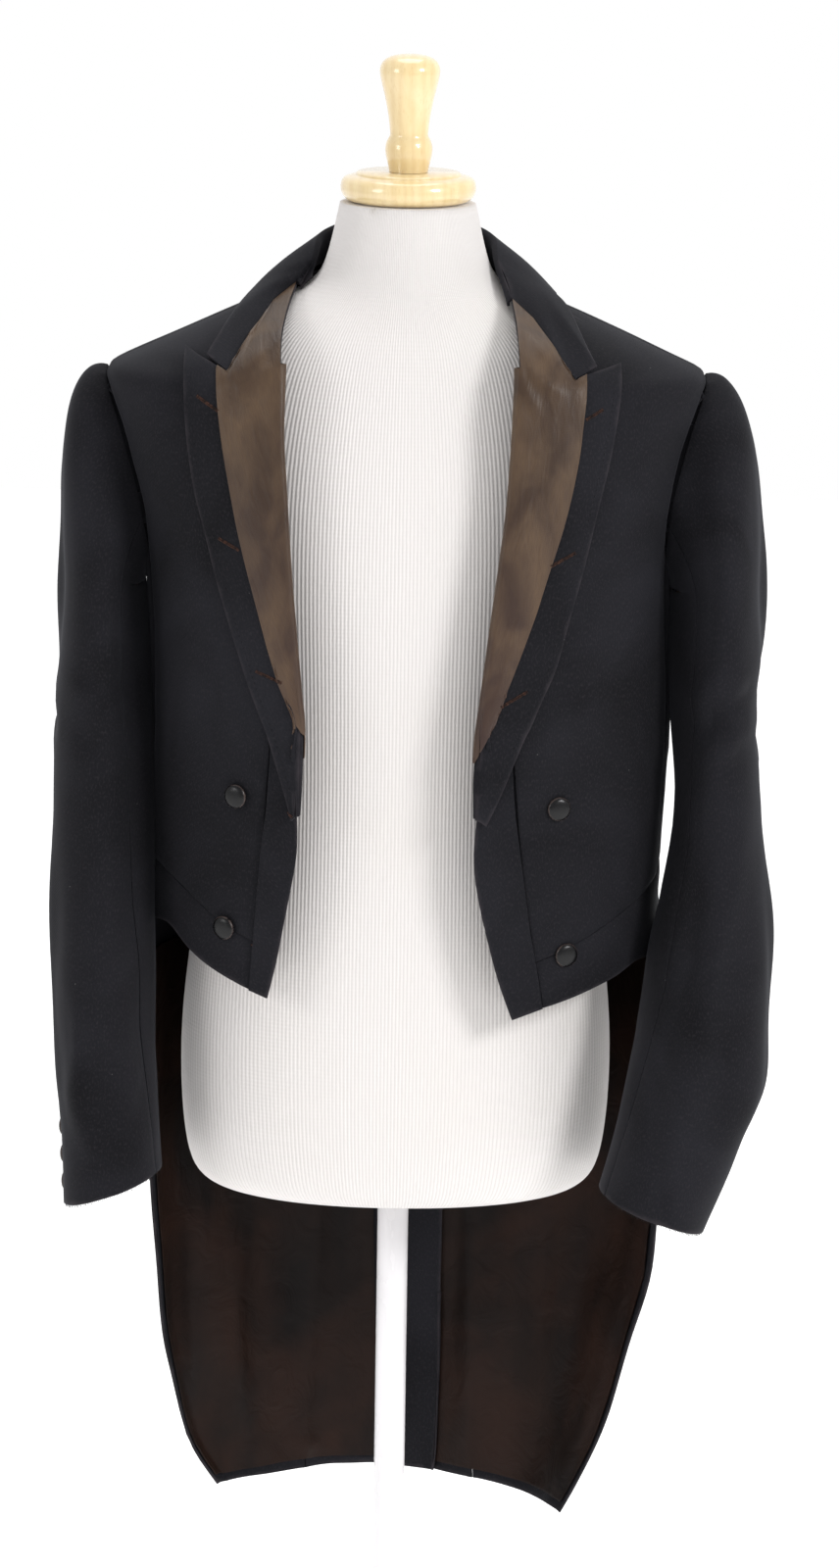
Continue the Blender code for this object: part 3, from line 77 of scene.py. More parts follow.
def add_node(tree, kind: str, sockets: dict | None = None, **settings):
    """Add one node with its settings, socket values and links.

    Args:
        tree: Node tree that gets the node.
        kind: Blender's identifier of the node.
        sockets: Input name or index to a value, or to the output that feeds it.
        **settings: The node's own properties.

    Returns:
        The new node.
    """
    node = tree.nodes.new(kind)
    for name, value in settings.items():
        setattr(node, name, value)
    for key, value in (sockets or {}).items():
        if isinstance(value, bpy.types.NodeSocket):
            tree.links.new(value, node.inputs[key])
        else:
            node.inputs[key].default_value = value
    return node


def wave_scale(pitch: float) -> float:
    """Scale of a Wave texture whose bands lie a pitch apart, in metres."""
    return 2 * math.pi / (20 * pitch)


@dataclass(frozen=True)
class Finish:
    """What every finish has: a name, a colour and a Principled shader."""

    name: str
    colour: str
    roughness: float

    def start(self) -> tuple[bpy.types.Material, bpy.types.NodeTree, bpy.types.Node]:
        """Make the material.

        Returns:
            The material, its tree and its Principled shader.
        """
        made = bpy.data.materials.new(self.name)
        made.use_nodes = True
        shader = made.node_tree.nodes["Principled BSDF"]
        shader.inputs["Base Color"].default_value = linear(self.colour)
        shader.inputs["Roughness"].default_value = self.roughness
        made.diffuse_color = linear(self.colour)
        return made, made.node_tree, shader

    def material(self) -> bpy.types.Material:
        """The material, made once."""
        return bpy.data.materials.get(self.name) or self.make()

    def make(self) -> bpy.types.Material:
        """A plain material, which each real finish replaces by its own."""
        return self.start()[0]


@dataclass(frozen=True)
class BaratheaWool(Finish):
    """Worsted barathea, milled and pressed: matte black with a short nap, greyer where rubbed."""

    nap: str = "#1b1b20"
    rubbed: str = "#332f33"
    rib_pitch: float = 0.0018
    lint_every: float = 0.030

    def make(self) -> bpy.types.Material:
        """Make the wool; its rib is 0.5 mm in the real cloth and is drawn 1.8 mm to show at all."""
        made, tree, shader = self.start()
        flat = add_node(tree, "ShaderNodeUVMap", uv_map="Pattern").outputs[0]
        place = add_node(tree, "ShaderNodeTexCoord").outputs["Object"]
        slant = add_node(tree, "ShaderNodeMapping",
                         {"Vector": flat, "Rotation": (0.0, 0.0, math.radians(58))}).outputs[0]
        rib = add_node(tree, "ShaderNodeTexWave",
                       {"Vector": slant, "Scale": wave_scale(self.rib_pitch), "Distortion": 0.6,
                        "Detail": 1.0}).outputs["Fac"]
        combed = add_node(tree, "ShaderNodeMapping", {"Vector": flat, "Scale": (1.0, 0.45, 1.0)}).outputs[0]
        nap = add_node(tree, "ShaderNodeTexNoise",
                       {"Vector": combed, "Scale": 800.0, "Detail": 4.0}).outputs["Fac"]
        cloud = add_node(tree, "ShaderNodeTexNoise",
                         {"Vector": place, "Scale": 9.0, "Detail": 4.0, "Distortion": 0.6}).outputs["Fac"]
        cloudy = add_node(tree, "ShaderNodeMapRange", {0: cloud, 1: 0.35, 2: 0.70}).outputs[0]
        tone = add_node(tree, "ShaderNodeMix", {0: cloudy, 6: linear(self.colour), 7: linear(self.nap)},
                        data_type="RGBA").outputs[2]
        napped = add_node(tree, "ShaderNodeMapRange", {0: nap, 1: 0.50, 2: 0.80, 4: 0.45}).outputs[0]
        fleck = add_node(tree, "ShaderNodeMix", {0: napped, 6: tone, 7: linear(self.rubbed)},
                         data_type="RGBA").outputs[2]
        edge = add_node(tree, "ShaderNodeAttribute", attribute_name="edge").outputs["Fac"]
        patch = add_node(tree, "ShaderNodeTexNoise",
                         {"Vector": place, "Scale": 60.0, "Detail": 3.0}).outputs["Fac"]
        rub = add_node(tree, "ShaderNodeMath", {0: edge, 1: patch}, operation="MULTIPLY").outputs[0]
        wear = add_node(tree, "ShaderNodeMapRange", {0: rub, 1: 0.25, 2: 0.70, 4: 0.85}).outputs[0]
        worn = add_node(tree, "ShaderNodeMix", {0: wear, 6: fleck, 7: linear(self.rubbed)},
                        data_type="RGBA").outputs[2]
        cells = add_node(tree, "ShaderNodeTexVoronoi",
                         {"Vector": place, "Scale": 1 / self.lint_every}).outputs["Distance"]
        speck = add_node(tree, "ShaderNodeMapRange", {0: cells, 1: 0.017, 2: 0.010, 4: 0.30}).outputs[0]
        lint = add_node(tree, "ShaderNodeMix", {0: speck, 6: worn, 7: linear("#a8a6a4")},
                        data_type="RGBA").outputs[2]
        tree.links.new(lint, shader.inputs["Base Color"])
        ridge = add_node(tree, "ShaderNodeBump",
                         {"Height": rib, "Strength": 0.16, "Distance": 0.00025}).outputs[0]
        fuzz = add_node(tree, "ShaderNodeBump", {"Height": nap, "Strength": 0.30, "Distance": 0.0003,
                                                 "Normal": ridge}).outputs[0]
        tree.links.new(fuzz, shader.inputs["Normal"])
        shader.inputs["Specular IOR Level"].default_value = 0.18
        shader.inputs["Sheen Weight"].default_value = 0.06
        shader.inputs["Sheen Roughness"].default_value = 0.35
        shader.inputs["Sheen Tint"].default_value = linear("#b9bccb")
        return made


@dataclass(frozen=True)
class FadedSilk(Finish):
    """Silk satin facing, woven smooth and browned by age: soft blotches and a low sheen."""

    light: str = "#665039"
    red: str = "#33201d"
    thread_pitch: float = 0.0012

    def make(self) -> bpy.types.Material:
        """Make the silk; its threads are 0.15 mm and are drawn 1.2 mm to show as a faint grain."""
        made, tree, shader = self.start()
        flat = add_node(tree, "ShaderNodeUVMap", uv_map="Pattern").outputs[0]
        place = add_node(tree, "ShaderNodeTexCoord").outputs["Object"]
        height = add_node(tree, "ShaderNodeSeparateXYZ", {0: place}).outputs["Z"]
        upright = add_node(tree, "ShaderNodeMapping", {"Vector": place, "Scale": (1.0, 1.0, 0.55)}).outputs[0]
        blotch = add_node(tree, "ShaderNodeTexNoise",
                          {"Vector": upright, "Scale": 34.0, "Detail": 6.0, "Distortion": 0.6}).outputs["Fac"]
        # Darker and redder towards the bottom, by height alone.
        lower = add_node(tree, "ShaderNodeMapRange", {0: height, 1: 1.20, 2: 0.98, 4: 0.75}).outputs[0]
        tone = add_node(tree, "ShaderNodeMix", {0: lower, 6: linear(self.colour), 7: linear(self.red)},
                        data_type="RGBA").outputs[2]
        fade = add_node(tree, "ShaderNodeMapRange", {0: blotch, 1: 0.34, 2: 0.70, 4: 0.55}).outputs[0]
        faded = add_node(tree, "ShaderNodeMix", {0: fade, 6: tone, 7: linear(self.light)},
                         data_type="RGBA").outputs[2]
        drawn = add_node(tree, "ShaderNodeMapping", {"Vector": flat, "Scale": (9.0, 0.6, 1.0)}).outputs[0]
        grain = add_node(tree, "ShaderNodeTexNoise",
                         {"Vector": drawn, "Scale": 160.0, "Detail": 3.0}).outputs["Fac"]
        fine = add_node(tree, "ShaderNodeMapRange", {0: grain, 1: 0.42, 2: 0.75, 4: 0.35}).outputs[0]
        streaked = add_node(tree, "ShaderNodeMix", {0: fine, 6: faded, 7: linear(self.red)},
                            data_type="RGBA").outputs[2]
        tree.links.new(streaked, shader.inputs["Base Color"])
        dull = add_node(tree, "ShaderNodeMapRange", {0: blotch, 1: 0.30, 2: 0.75, 3: 0.36, 4: 0.56}).outputs[0]
        tree.links.new(dull, shader.inputs["Roughness"])
        weave = add_node(tree, "ShaderNodeTexWave",
                         {"Vector": flat, "Scale": wave_scale(self.thread_pitch), "Distortion": 1.2,
                          "Detail": 2.0}, bands_direction="Y").outputs["Fac"]
        threads = add_node(tree, "ShaderNodeBump",
                           {"Height": weave, "Strength": 0.12, "Distance": 0.0002}).outputs[0]
        pulled = add_node(tree, "ShaderNodeMapping",
                          {"Vector": flat, "Rotation": (0.0, 0.0, math.radians(35)),
                           "Scale": (1.8, 0.45, 1.0)}).outputs[0]
        ripple = add_node(tree, "ShaderNodeTexNoise",
                          {"Vector": pulled, "Scale": 70.0, "Detail": 5.0, "Distortion": 1.0}).outputs["Fac"]
        crumple = add_node(tree, "ShaderNodeBump", {"Height": ripple, "Strength": 0.45, "Distance": 0.0018,
                                                    "Normal": threads}).outputs[0]
        tree.links.new(crumple, shader.inputs["Normal"])
        shader.inputs["Specular IOR Level"].default_value = 0.36
        shader.inputs["Sheen Weight"].default_value = 0.03
        shader.inputs["Sheen Tint"].default_value = linear("#d8c7ab")
        return made


@dataclass(frozen=True)
class BrownLining(Finish):
    """Twilled brown lining, pressed smooth: a dull gloss with long soft streaks."""

    light: str = "#2e1b13"
    dark: str = "#0e0807"
    twill_pitch: float = 0.0015

    def make(self) -> bpy.types.Material:
        """Make the lining; its 0.3 mm twill is drawn 1.5 mm so that it shows at all."""
        made, tree, shader = self.start()
        flat = add_node(tree, "ShaderNodeUVMap", uv_map="Pattern").outputs[0]
        place = add_node(tree, "ShaderNodeTexCoord").outputs["Object"]
        upright = add_node(tree, "ShaderNodeMapping", {"Vector": place, "Scale": (1.0, 1.0, 0.12)}).outputs[0]
        streak = add_node(tree, "ShaderNodeTexNoise",
                          {"Vector": upright, "Scale": 34.0, "Detail": 4.0, "Distortion": 0.3}).outputs["Fac"]
        cloud = add_node(tree, "ShaderNodeTexNoise",
                         {"Vector": place, "Scale": 12.0, "Detail": 3.0, "Distortion": 0.5}).outputs["Fac"]
        drawn = add_node(tree, "ShaderNodeMapRange", {0: streak, 1: 0.35, 2: 0.70}).outputs[0]
        tone = add_node(tree, "ShaderNodeMix", {0: drawn, 6: linear(self.dark), 7: linear(self.colour)},
                        data_type="RGBA").outputs[2]
        cloudy = add_node(tree, "ShaderNodeMapRange", {0: cloud, 1: 0.42, 2: 0.75, 4: 0.7}).outputs[0]
        clouded = add_node(tree, "ShaderNodeMix", {0: cloudy, 6: tone, 7: linear(self.light)},
                           data_type="RGBA").outputs[2]
        tree.links.new(clouded, shader.inputs["Base Color"])
        slant = add_node(tree, "ShaderNodeMapping",
                         {"Vector": flat, "Rotation": (0.0, 0.0, math.radians(45))}).outputs[0]
        twill = add_node(tree, "ShaderNodeTexWave", {"Vector": slant, "Scale": wave_scale(self.twill_pitch),
                                                     "Distortion": 0.4}).outputs["Fac"]
        weave = add_node(tree, "ShaderNodeBump",
                         {"Height": twill, "Strength": 0.12, "Distance": 0.0002}).outputs[0]
        ripple = add_node(tree, "ShaderNodeTexNoise",
                          {"Vector": place, "Scale": 36.0, "Detail": 4.0, "Distortion": 1.4}).outputs["Fac"]
        crumple = add_node(tree, "ShaderNodeBump", {"Height": ripple, "Strength": 0.55, "Distance": 0.0030,
                                                    "Normal": weave}).outputs[0]
        tree.links.new(crumple, shader.inputs["Normal"])
        shader.inputs["Specular IOR Level"].default_value = 0.15
        shader.inputs["Sheen Weight"].default_value = 0.01
        shader.inputs["Sheen Tint"].default_value = linear("#c9a98f")
        return made


@dataclass(frozen=True)
class ButtonSatin(Finish):
    """Black satin stretched over a button mould, rubbed through to grey-brown at the rim."""

    rubbed: str = "#463c39"

    def make(self) -> bpy.types.Material:
        """Make the satin."""
        made, tree, shader = self.start()
        place = add_node(tree, "ShaderNodeTexCoord").outputs["Object"]
        wear = add_node(tree, "ShaderNodeTexNoise",
                        {"Vector": place, "Scale": 190.0, "Detail": 4.0, "Distortion": 1.2}).outputs["Fac"]
        edge = add_node(tree, "ShaderNodeAttribute", attribute_name="edge").outputs["Fac"]
        rub = add_node(tree, "ShaderNodeMath", {0: wear, 1: edge}, operation="MULTIPLY").outputs[0]
        bare = add_node(tree, "ShaderNodeMapRange", {0: rub, 1: 0.28, 2: 0.50, 4: 0.9}).outputs[0]
        tone = add_node(tree, "ShaderNodeMix", {0: bare, 6: linear(self.colour), 7: linear(self.rubbed)},
                        data_type="RGBA").outputs[2]
        tree.links.new(tone, shader.inputs["Base Color"])
        fine = add_node(tree, "ShaderNodeTexNoise", {"Vector": place, "Scale": 2600.0}).outputs["Fac"]
        relief = add_node(tree, "ShaderNodeBump",
                          {"Height": fine, "Strength": 0.25, "Distance": 0.0002}).outputs[0]
        tree.links.new(relief, shader.inputs["Normal"])
        shader.inputs["Specular IOR Level"].default_value = 0.30
        return made


@dataclass(frozen=True)
class SewingThread(Finish):
    """Twisted silk or cotton thread, with the twist as fine darker ribs."""

    dark: str

    def make(self) -> bpy.types.Material:
        """Make the thread."""
        made, tree, shader = self.start()
        place = add_node(tree, "ShaderNodeTexCoord").outputs["Object"]
        twist = add_node(tree, "ShaderNodeTexNoise", {"Vector": place, "Scale": 420.0}).outputs["Fac"]
        share = add_node(tree, "ShaderNodeMapRange", {0: twist, 1: 0.35, 2: 0.65}).outputs[0]
        tone = add_node(tree, "ShaderNodeMix", {0: share, 6: linear(self.dark), 7: linear(self.colour)},
                        data_type="RGBA").outputs[2]
        tree.links.new(tone, shader.inputs["Base Color"])
        relief = add_node(tree, "ShaderNodeBump",
                          {"Height": twist, "Strength": 0.4, "Distance": 0.0002}).outputs[0]
        tree.links.new(relief, shader.inputs["Normal"])
        shader.inputs["Specular IOR Level"].default_value = 0.2
        return made


@dataclass(frozen=True)
class RibbedJersey(Finish):
    """Off-white cotton jersey, knitted in fine ribs and stretched over the torso."""

    groove_shade: str = "#c6c0be"
    rib_pitch: float = 0.0026
    loop_pitch: float = 0.0030

    def make(self) -> bpy.types.Material:
        """Make the jersey; its 1.6 mm rib is drawn up to 2.6 mm, which the picture can just show."""
        made, tree, shader = self.start()
        flat = add_node(tree, "ShaderNodeUVMap", uv_map="Pattern").outputs[0]
        place = add_node(tree, "ShaderNodeTexCoord").outputs["Object"]
        rib = add_node(tree, "ShaderNodeTexWave",
                       {"Vector": flat, "Scale": wave_scale(self.rib_pitch), "Distortion": 0.35,
                        "Detail": 1.0}).outputs["Fac"]
        loop = add_node(tree, "ShaderNodeTexWave",
                        {"Vector": flat, "Scale": wave_scale(self.loop_pitch), "Distortion": 0.8},
                        bands_direction="Y").outputs["Fac"]
        # Painted shade: the grooves between the ribs are drawn darker than the ribs.
        shade = add_node(tree, "ShaderNodeMapRange", {0: rib, 1: 0.45, 2: 0.0, 4: 0.55}).outputs[0]
        tone = add_node(tree, "ShaderNodeMix", {0: shade, 6: linear(self.colour), 7: linear(self.groove_shade)},
                        data_type="RGBA").outputs[2]
        cloud = add_node(tree, "ShaderNodeTexNoise",
                         {"Vector": place, "Scale": 7.0, "Detail": 4.0}).outputs["Fac"]
        dust = add_node(tree, "ShaderNodeMapRange", {0: cloud, 1: 0.45, 2: 0.8, 4: 0.35}).outputs[0]
        dusty = add_node(tree, "ShaderNodeMix", {0: dust, 6: tone, 7: linear("#dcd6d0")},
                         data_type="RGBA").outputs[2]
        tree.links.new(dusty, shader.inputs["Base Color"])
        ribs = add_node(tree, "ShaderNodeBump",
                        {"Height": rib, "Strength": 0.55, "Distance": 0.0006}).outputs[0]
        knit = add_node(tree, "ShaderNodeBump", {"Height": loop, "Strength": 0.25, "Distance": 0.0003,
                                                 "Normal": ribs}).outputs[0]
        tree.links.new(knit, shader.inputs["Normal"])
        shader.inputs["Sheen Weight"].default_value = 0.3
        shader.inputs["Specular IOR Level"].default_value = 0.3
        return made


@dataclass(frozen=True)
class VarnishedMaple(Finish):
    """Turned maple under clear varnish: pale, with soft upright grain and sharp highlights."""

    grain: str = "#c9a063"
    pale: str = "#f3e2bb"
    ring_pitch: float = 0.0075

    def make(self) -> bpy.types.Material:
        """Make the wood."""
        made, tree, shader = self.start()
        place = add_node(tree, "ShaderNodeTexCoord").outputs["Object"]
        sawn = add_node(tree, "ShaderNodeMapping", {"Vector": place, "Scale": (1.0, 0.35, 0.16)}).outputs[0]
        rings = add_node(tree, "ShaderNodeTexWave",
                         {"Vector": sawn, "Scale": wave_scale(self.ring_pitch), "Distortion": 5.5,
                          "Detail": 3.0, "Detail Scale": 1.6}).outputs["Fac"]
        upright = add_node(tree, "ShaderNodeMapping", {"Vector": place, "Scale": (1.0, 1.0, 0.25)}).outputs[0]
        figure = add_node(tree, "ShaderNodeTexNoise",
                          {"Vector": upright, "Scale": 46.0, "Detail": 4.0, "Distortion": 1.5}).outputs["Fac"]
        long = add_node(tree, "ShaderNodeMapping", {"Vector": place, "Scale": (1.0, 1.0, 0.05)}).outputs[0]
        pore = add_node(tree, "ShaderNodeTexNoise", {"Vector": long, "Scale": 900.0}).outputs["Fac"]
        band = add_node(tree, "ShaderNodeMapRange", {0: rings, 1: 0.2, 2: 1.0, 4: 0.20}).outputs[0]
        ringed = add_node(tree, "ShaderNodeMix", {0: band, 6: linear(self.colour), 7: linear(self.grain)},
                          data_type="RGBA").outputs[2]
        light = add_node(tree, "ShaderNodeMapRange", {0: figure, 1: 0.45, 2: 0.75, 4: 0.40}).outputs[0]
        cloudy = add_node(tree, "ShaderNodeMix", {0: light, 6: ringed, 7: linear(self.pale)},
                          data_type="RGBA").outputs[2]
        thin = add_node(tree, "ShaderNodeMapRange", {0: pore, 1: 0.55, 2: 0.75, 4: 0.25}).outputs[0]
        fine = add_node(tree, "ShaderNodeMix", {0: thin, 6: cloudy, 7: linear(self.grain)},
                        data_type="RGBA").outputs[2]
        tree.links.new(fine, shader.inputs["Base Color"])
        shader.inputs["Coat Weight"].default_value = 1.0
        shader.inputs["Coat Roughness"].default_value = 0.07
        return made


@dataclass(frozen=True)
class StoveEnamel(Finish):
    """White stove enamel on steel: smooth and glossy with a faint orange peel."""

    scuffed: str = "#dddbdc"

    def make(self) -> bpy.types.Material:
        """Make the enamel."""
        made, tree, shader = self.start()
        place = add_node(tree, "ShaderNodeTexCoord").outputs["Object"]
        peel = add_node(tree, "ShaderNodeTexNoise", {"Vector": place, "Scale": 420.0}).outputs["Fac"]
        upright = add_node(tree, "ShaderNodeMapping", {"Vector": place, "Scale": (1.0, 1.0, 0.3)}).outputs[0]
        scuff = add_node(tree, "ShaderNodeTexNoise",
                         {"Vector": upright, "Scale": 30.0, "Detail": 5.0}).outputs["Fac"]
        share = add_node(tree, "ShaderNodeMapRange", {0: scuff, 1: 0.5, 2: 0.8, 4: 0.4}).outputs[0]
        tone = add_node(tree, "ShaderNodeMix", {0: share, 6: linear(self.colour), 7: linear(self.scuffed)},
                        data_type="RGBA").outputs[2]
        tree.links.new(tone, shader.inputs["Base Color"])
        dull = add_node(tree, "ShaderNodeMapRange", {0: scuff, 1: 0.3, 2: 0.8, 3: 0.18, 4: 0.34}).outputs[0]
        tree.links.new(dull, shader.inputs["Roughness"])
        relief = add_node(tree, "ShaderNodeBump",
                          {"Height": peel, "Strength": 0.05, "Distance": 0.0004}).outputs[0]
        tree.links.new(relief, shader.inputs["Normal"])
        shader.inputs["Coat Weight"].default_value = 0.4
        return made


@dataclass(frozen=True)
class StudioPaper(Finish):
    """White seamless paper, lit evenly from lamps of its own, which its emission stands for."""

    own_light: float = 0.35

    def make(self) -> bpy.types.Material:
        """Make the paper."""
        made, tree, shader = self.start()
        place = add_node(tree, "ShaderNodeTexCoord").outputs["Object"]
        cloud = add_node(tree, "ShaderNodeTexNoise", {"Vector": place, "Scale": 3.0}).outputs["Fac"]
        share = add_node(tree, "ShaderNodeMapRange", {0: cloud, 1: 0.3, 2: 0.7, 4: 0.2}).outputs[0]
        tone = add_node(tree, "ShaderNodeMix", {0: share, 6: linear(self.colour), 7: linear("#f6f6f6")},
                        data_type="RGBA").outputs[2]
        tree.links.new(tone, shader.inputs["Base Color"])
        shader.inputs["Emission Color"].default_value = linear("#ffffff")
        shader.inputs["Emission Strength"].default_value = self.own_light
        return made


WOOL = BaratheaWool("Barathea_wool", "#0c0c10", 0.88)
SILK = FadedSilk("Faded_silk_satin", "#36261a", 0.45)
LINING_CLOTH = BrownLining("Brown_twill_lining", "#1c100b", 0.6)
SATIN = ButtonSatin("Button_satin", "#08080a", 0.27)
TWIST = SewingThread("Brown_buttonhole_twist", "#4a3026", 0.7, "#1f1512")
BLACK_THREAD = SewingThread("Black_sewing_thread", "#131317", 0.8, "#09090b")
JERSEY = RibbedJersey("Ribbed_cotton_jersey", "#e4e0de", 0.9)
MAPLE = VarnishedMaple("Varnished_maple", "#e8d09c", 0.34)
ENAMEL = StoveEnamel("White_stove_enamel", "#eeecee", 0.24)
PAPER = StudioPaper("Seamless_white_paper", "#fdfdfd", 0.95)


class View(Enum):
    """Side that a fold is drawn from: its direction and which axis runs across."""

    FRONT = ((0.0, -1.0, 0.0), 0)
    BACK = ((0.0, 1.0, 0.0), 0)
    LEFT = ((1.0, 0.0, 0.0), 1)
    RIGHT = ((-1.0, 0.0, 0.0), 1)


class Side(Enum):
    """Which side of a thin solid the shown skin is taken from."""

    OUTSIDE = "away from the body's middle"
    INSIDE = "toward the body's middle"
    CONVEX = "away from the piece's own middle"
    FOREMOST = "the side that comes furthest forward"
    TOPMOST = "the side that comes highest"


@dataclass(frozen=True)
class Fold:
    """A soft ridge (positive depth) or trough (negative) drawn on the cloth.

    Path points are across and up, in metres, as seen from the view. The half is 1 for the
    wearer's left half of the coat only, -1 for the right half, and 0 for both.
    """

    view: View
    path: tuple[tuple[float, float], ...]
    width: float
    depth: float
    unevenness: float = 0.35
    half: int = 0

    def heights(self, points: np.ndarray, normals: np.ndarray) -> np.ndarray:
        """How far each point moves along its normal.

        Args:
            points: Points of the skin.
            normals: Their normals.

        Returns:
            One signed distance a point.
        """
        direction, across = self.view.value
        flat = np.stack([points[:, across], points[:, 2]], axis=1)
        line = np.array(self.path)
        steps = np.linalg.norm(np.diff(line, axis=0), axis=1)
        total = steps.sum()
        nearest = np.full(len(points), 1e9)
        share = np.zeros(len(points))
        run = 0.0
        for a, b, step in zip(line[:-1], line[1:], steps):
            t = np.clip(((flat - a) @ (b - a)) / step ** 2, 0.0, 1.0)
            gap = np.linalg.norm(flat - (a + t[:, None] * (b - a)), axis=1)
            closer = gap < nearest
            nearest = np.where(closer, gap, nearest)
            share = np.where(closer, (run + t * step) / total, share)
            run += step
        phase = 40.0 * line[0, 0] + 23.0 * line[0, 1]
        wobble = 1.0 + self.unevenness * np.sin(2 * math.pi * 1.3 * share + phase)
        taper = np.sin(math.pi * np.clip(share * 0.94 + 0.03, 0.0, 1.0)) ** 0.7
        facing = np.clip((normals @ np.array(direction) - 0.05) / 0.35, 0.0, 1.0)
        ridge = np.exp(-(nearest / (self.width * wobble)) ** 2)
        flank = 0.35 * np.exp(-((nearest - 2.1 * self.width) / (1.1 * self.width)) ** 2)
        mine = np.sign(points[:, 0]) == self.half if self.half else 1.0
        return self.depth * wobble * taper * facing * mine * (ridge - flank)


@dataclass
class Skin:
    """One side of a cloth solid: a smooth open mesh with its flat pattern as UVs."""

    name: str
    mesh: bpy.types.Mesh
    flat: tuple[float, float]
    area: float
    cut: np.ndarray | None = None
    seam: set[int] | None = None

    def points(self) -> np.ndarray:
        """The points as an array."""
        found = np.zeros(len(self.mesh.vertices) * 3)
        self.mesh.vertices.foreach_get("co", found)
        return found.reshape(-1, 3)

    def normals(self) -> np.ndarray:
        """The points' normals as an array."""
        found = np.zeros(len(self.mesh.vertices) * 3, np.float32)
        self.mesh.vertex_normals.foreach_get("vector", found)
        return found.reshape(-1, 3).astype(float)

    def move(self, points: np.ndarray) -> None:
        """Put the points somewhere else."""
        self.mesh.vertices.foreach_set("co", points.ravel())
        self.mesh.update()

    def on_cut(self, points: np.ndarray) -> np.ndarray:
        """The nearest places on the solid's own cut line.

        Args:
            points: Points near it.

        Returns:
            One place a point.
        """
        start, along = self.cut[:, 0], self.cut[:, 1] - self.cut[:, 0]
        from_start = points[:, None] - start[None]
        share = np.clip((from_start * along).sum(axis=2) / (along ** 2).sum(axis=1), 0.0, 1.0)
        places = start[None] + share[:, :, None] * along[None]
        nearest = np.linalg.norm(places - points[:, None], axis=2).argmin(axis=1)
        return places[np.arange(len(points)), nearest]

    def rim(self) -> list[int]:
        """Indices of the points on the skin's border."""
        sheet = bmesh.new()
        sheet.from_mesh(self.mesh)
        found = [v.index for v in sheet.verts if v.is_boundary]
        sheet.free()
        return found


def solid_sheet(node: str) -> bmesh.types.BMesh:
    """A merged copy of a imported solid.

    Args:
        node: Name of the solid.

    Returns:
        The copy, which the caller frees.
    """
    sheet = bmesh.new()
    sheet.from_mesh(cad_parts[node].data)
    bmesh.ops.remove_doubles(sheet, verts=sheet.verts, dist=0.00002)
    sheet.normal_update()
    sheet.faces.ensure_lookup_table()
    return sheet


def side_faces(sheet: bmesh.types.BMesh, wall: float) -> set[bmesh.types.BMFace]:
    """Faces of a thin solid's two sides, without the narrow rim between them.

    Args:
        sheet: The solid.
        wall: Its thickness.

    Returns:
        Faces with the other side of the wall right behind them, and those too broad for a rim.
    """
    tree = BVHTree.FromBMesh(sheet)
    kept = set()
    for face in sheet.faces:
        start = face.calc_center_median() - face.normal * 0.00001
        _, across, _, depth = tree.ray_cast(start, -face.normal, 2.2 * wall)
        breadth = 2 * face.calc_area() / max(edge.calc_length() for edge in face.edges)
        if breadth > 1.3 * wall or (depth is not None and across.dot(face.normal) < -0.3):
            kept.add(face)
    return kept


def groups_of(faces: set[bmesh.types.BMFace], sharp: float = 66.0) -> list[list[bmesh.types.BMFace]]:
    """Split faces at sharp edges, and keep the two largest groups.

    Args:
        faces: Faces that may touch.
        sharp: Least turn of a sharp edge, in degrees.

    Returns:
        The two sides.
    """
    waiting, groups = set(faces), []
    while waiting:
        group, stack = [], [waiting.pop()]
        while stack:
            face = stack.pop()
            group.append(face)
            for edge in face.edges:
                if edge.calc_face_angle(0.0) < math.radians(sharp):
                    fresh = [other for other in edge.link_faces if other in waiting]
                    waiting.difference_update(fresh)
                    stack += fresh
        groups.append(group)
    return sorted(groups, key=len, reverse=True)[:2]


def score_of(group: list[bmesh.types.BMFace], side: Side, middle: Vector) -> float:
    """How well a group of faces is the wanted side.

    Args:
        group: Connected faces.
        side: Side wanted.
        middle: Middle of both groups.

    Returns:
        A higher number for a better match.
    """
    if side is Side.FOREMOST:
        return -min(face.calc_center_median().y for face in group)
    if side is Side.TOPMOST:
        return max(face.calc_center_median().z for face in group)
    total = 0.0
    for face in group:
        centre = face.calc_center_median()
        away = centre - middle if side is Side.CONVEX else Vector((centre.x, centre.y, 0.0))
        total += face.calc_area() * face.normal.dot(away)
    return -total if side is Side.INSIDE else total


def sharp_corners(sheet: bmesh.types.BMesh, turn: float = 34.0) -> list[int]:
    """Border points where the outline turns a corner.

    Args:
        sheet: Open mesh.
        turn: Least turn in degrees.

    Returns:
        Their indices.
    """
    found = []
    for vert in sheet.verts:
        rims = [edge for edge in vert.link_edges if edge.is_boundary]
        if len(rims) == 2:
            a, b = (edge.other_vert(vert).co - vert.co for edge in rims)
            if a.length > 0 and b.length > 0 and math.degrees(a.angle(-b)) > turn:
                found.append(vert.index)
    return found


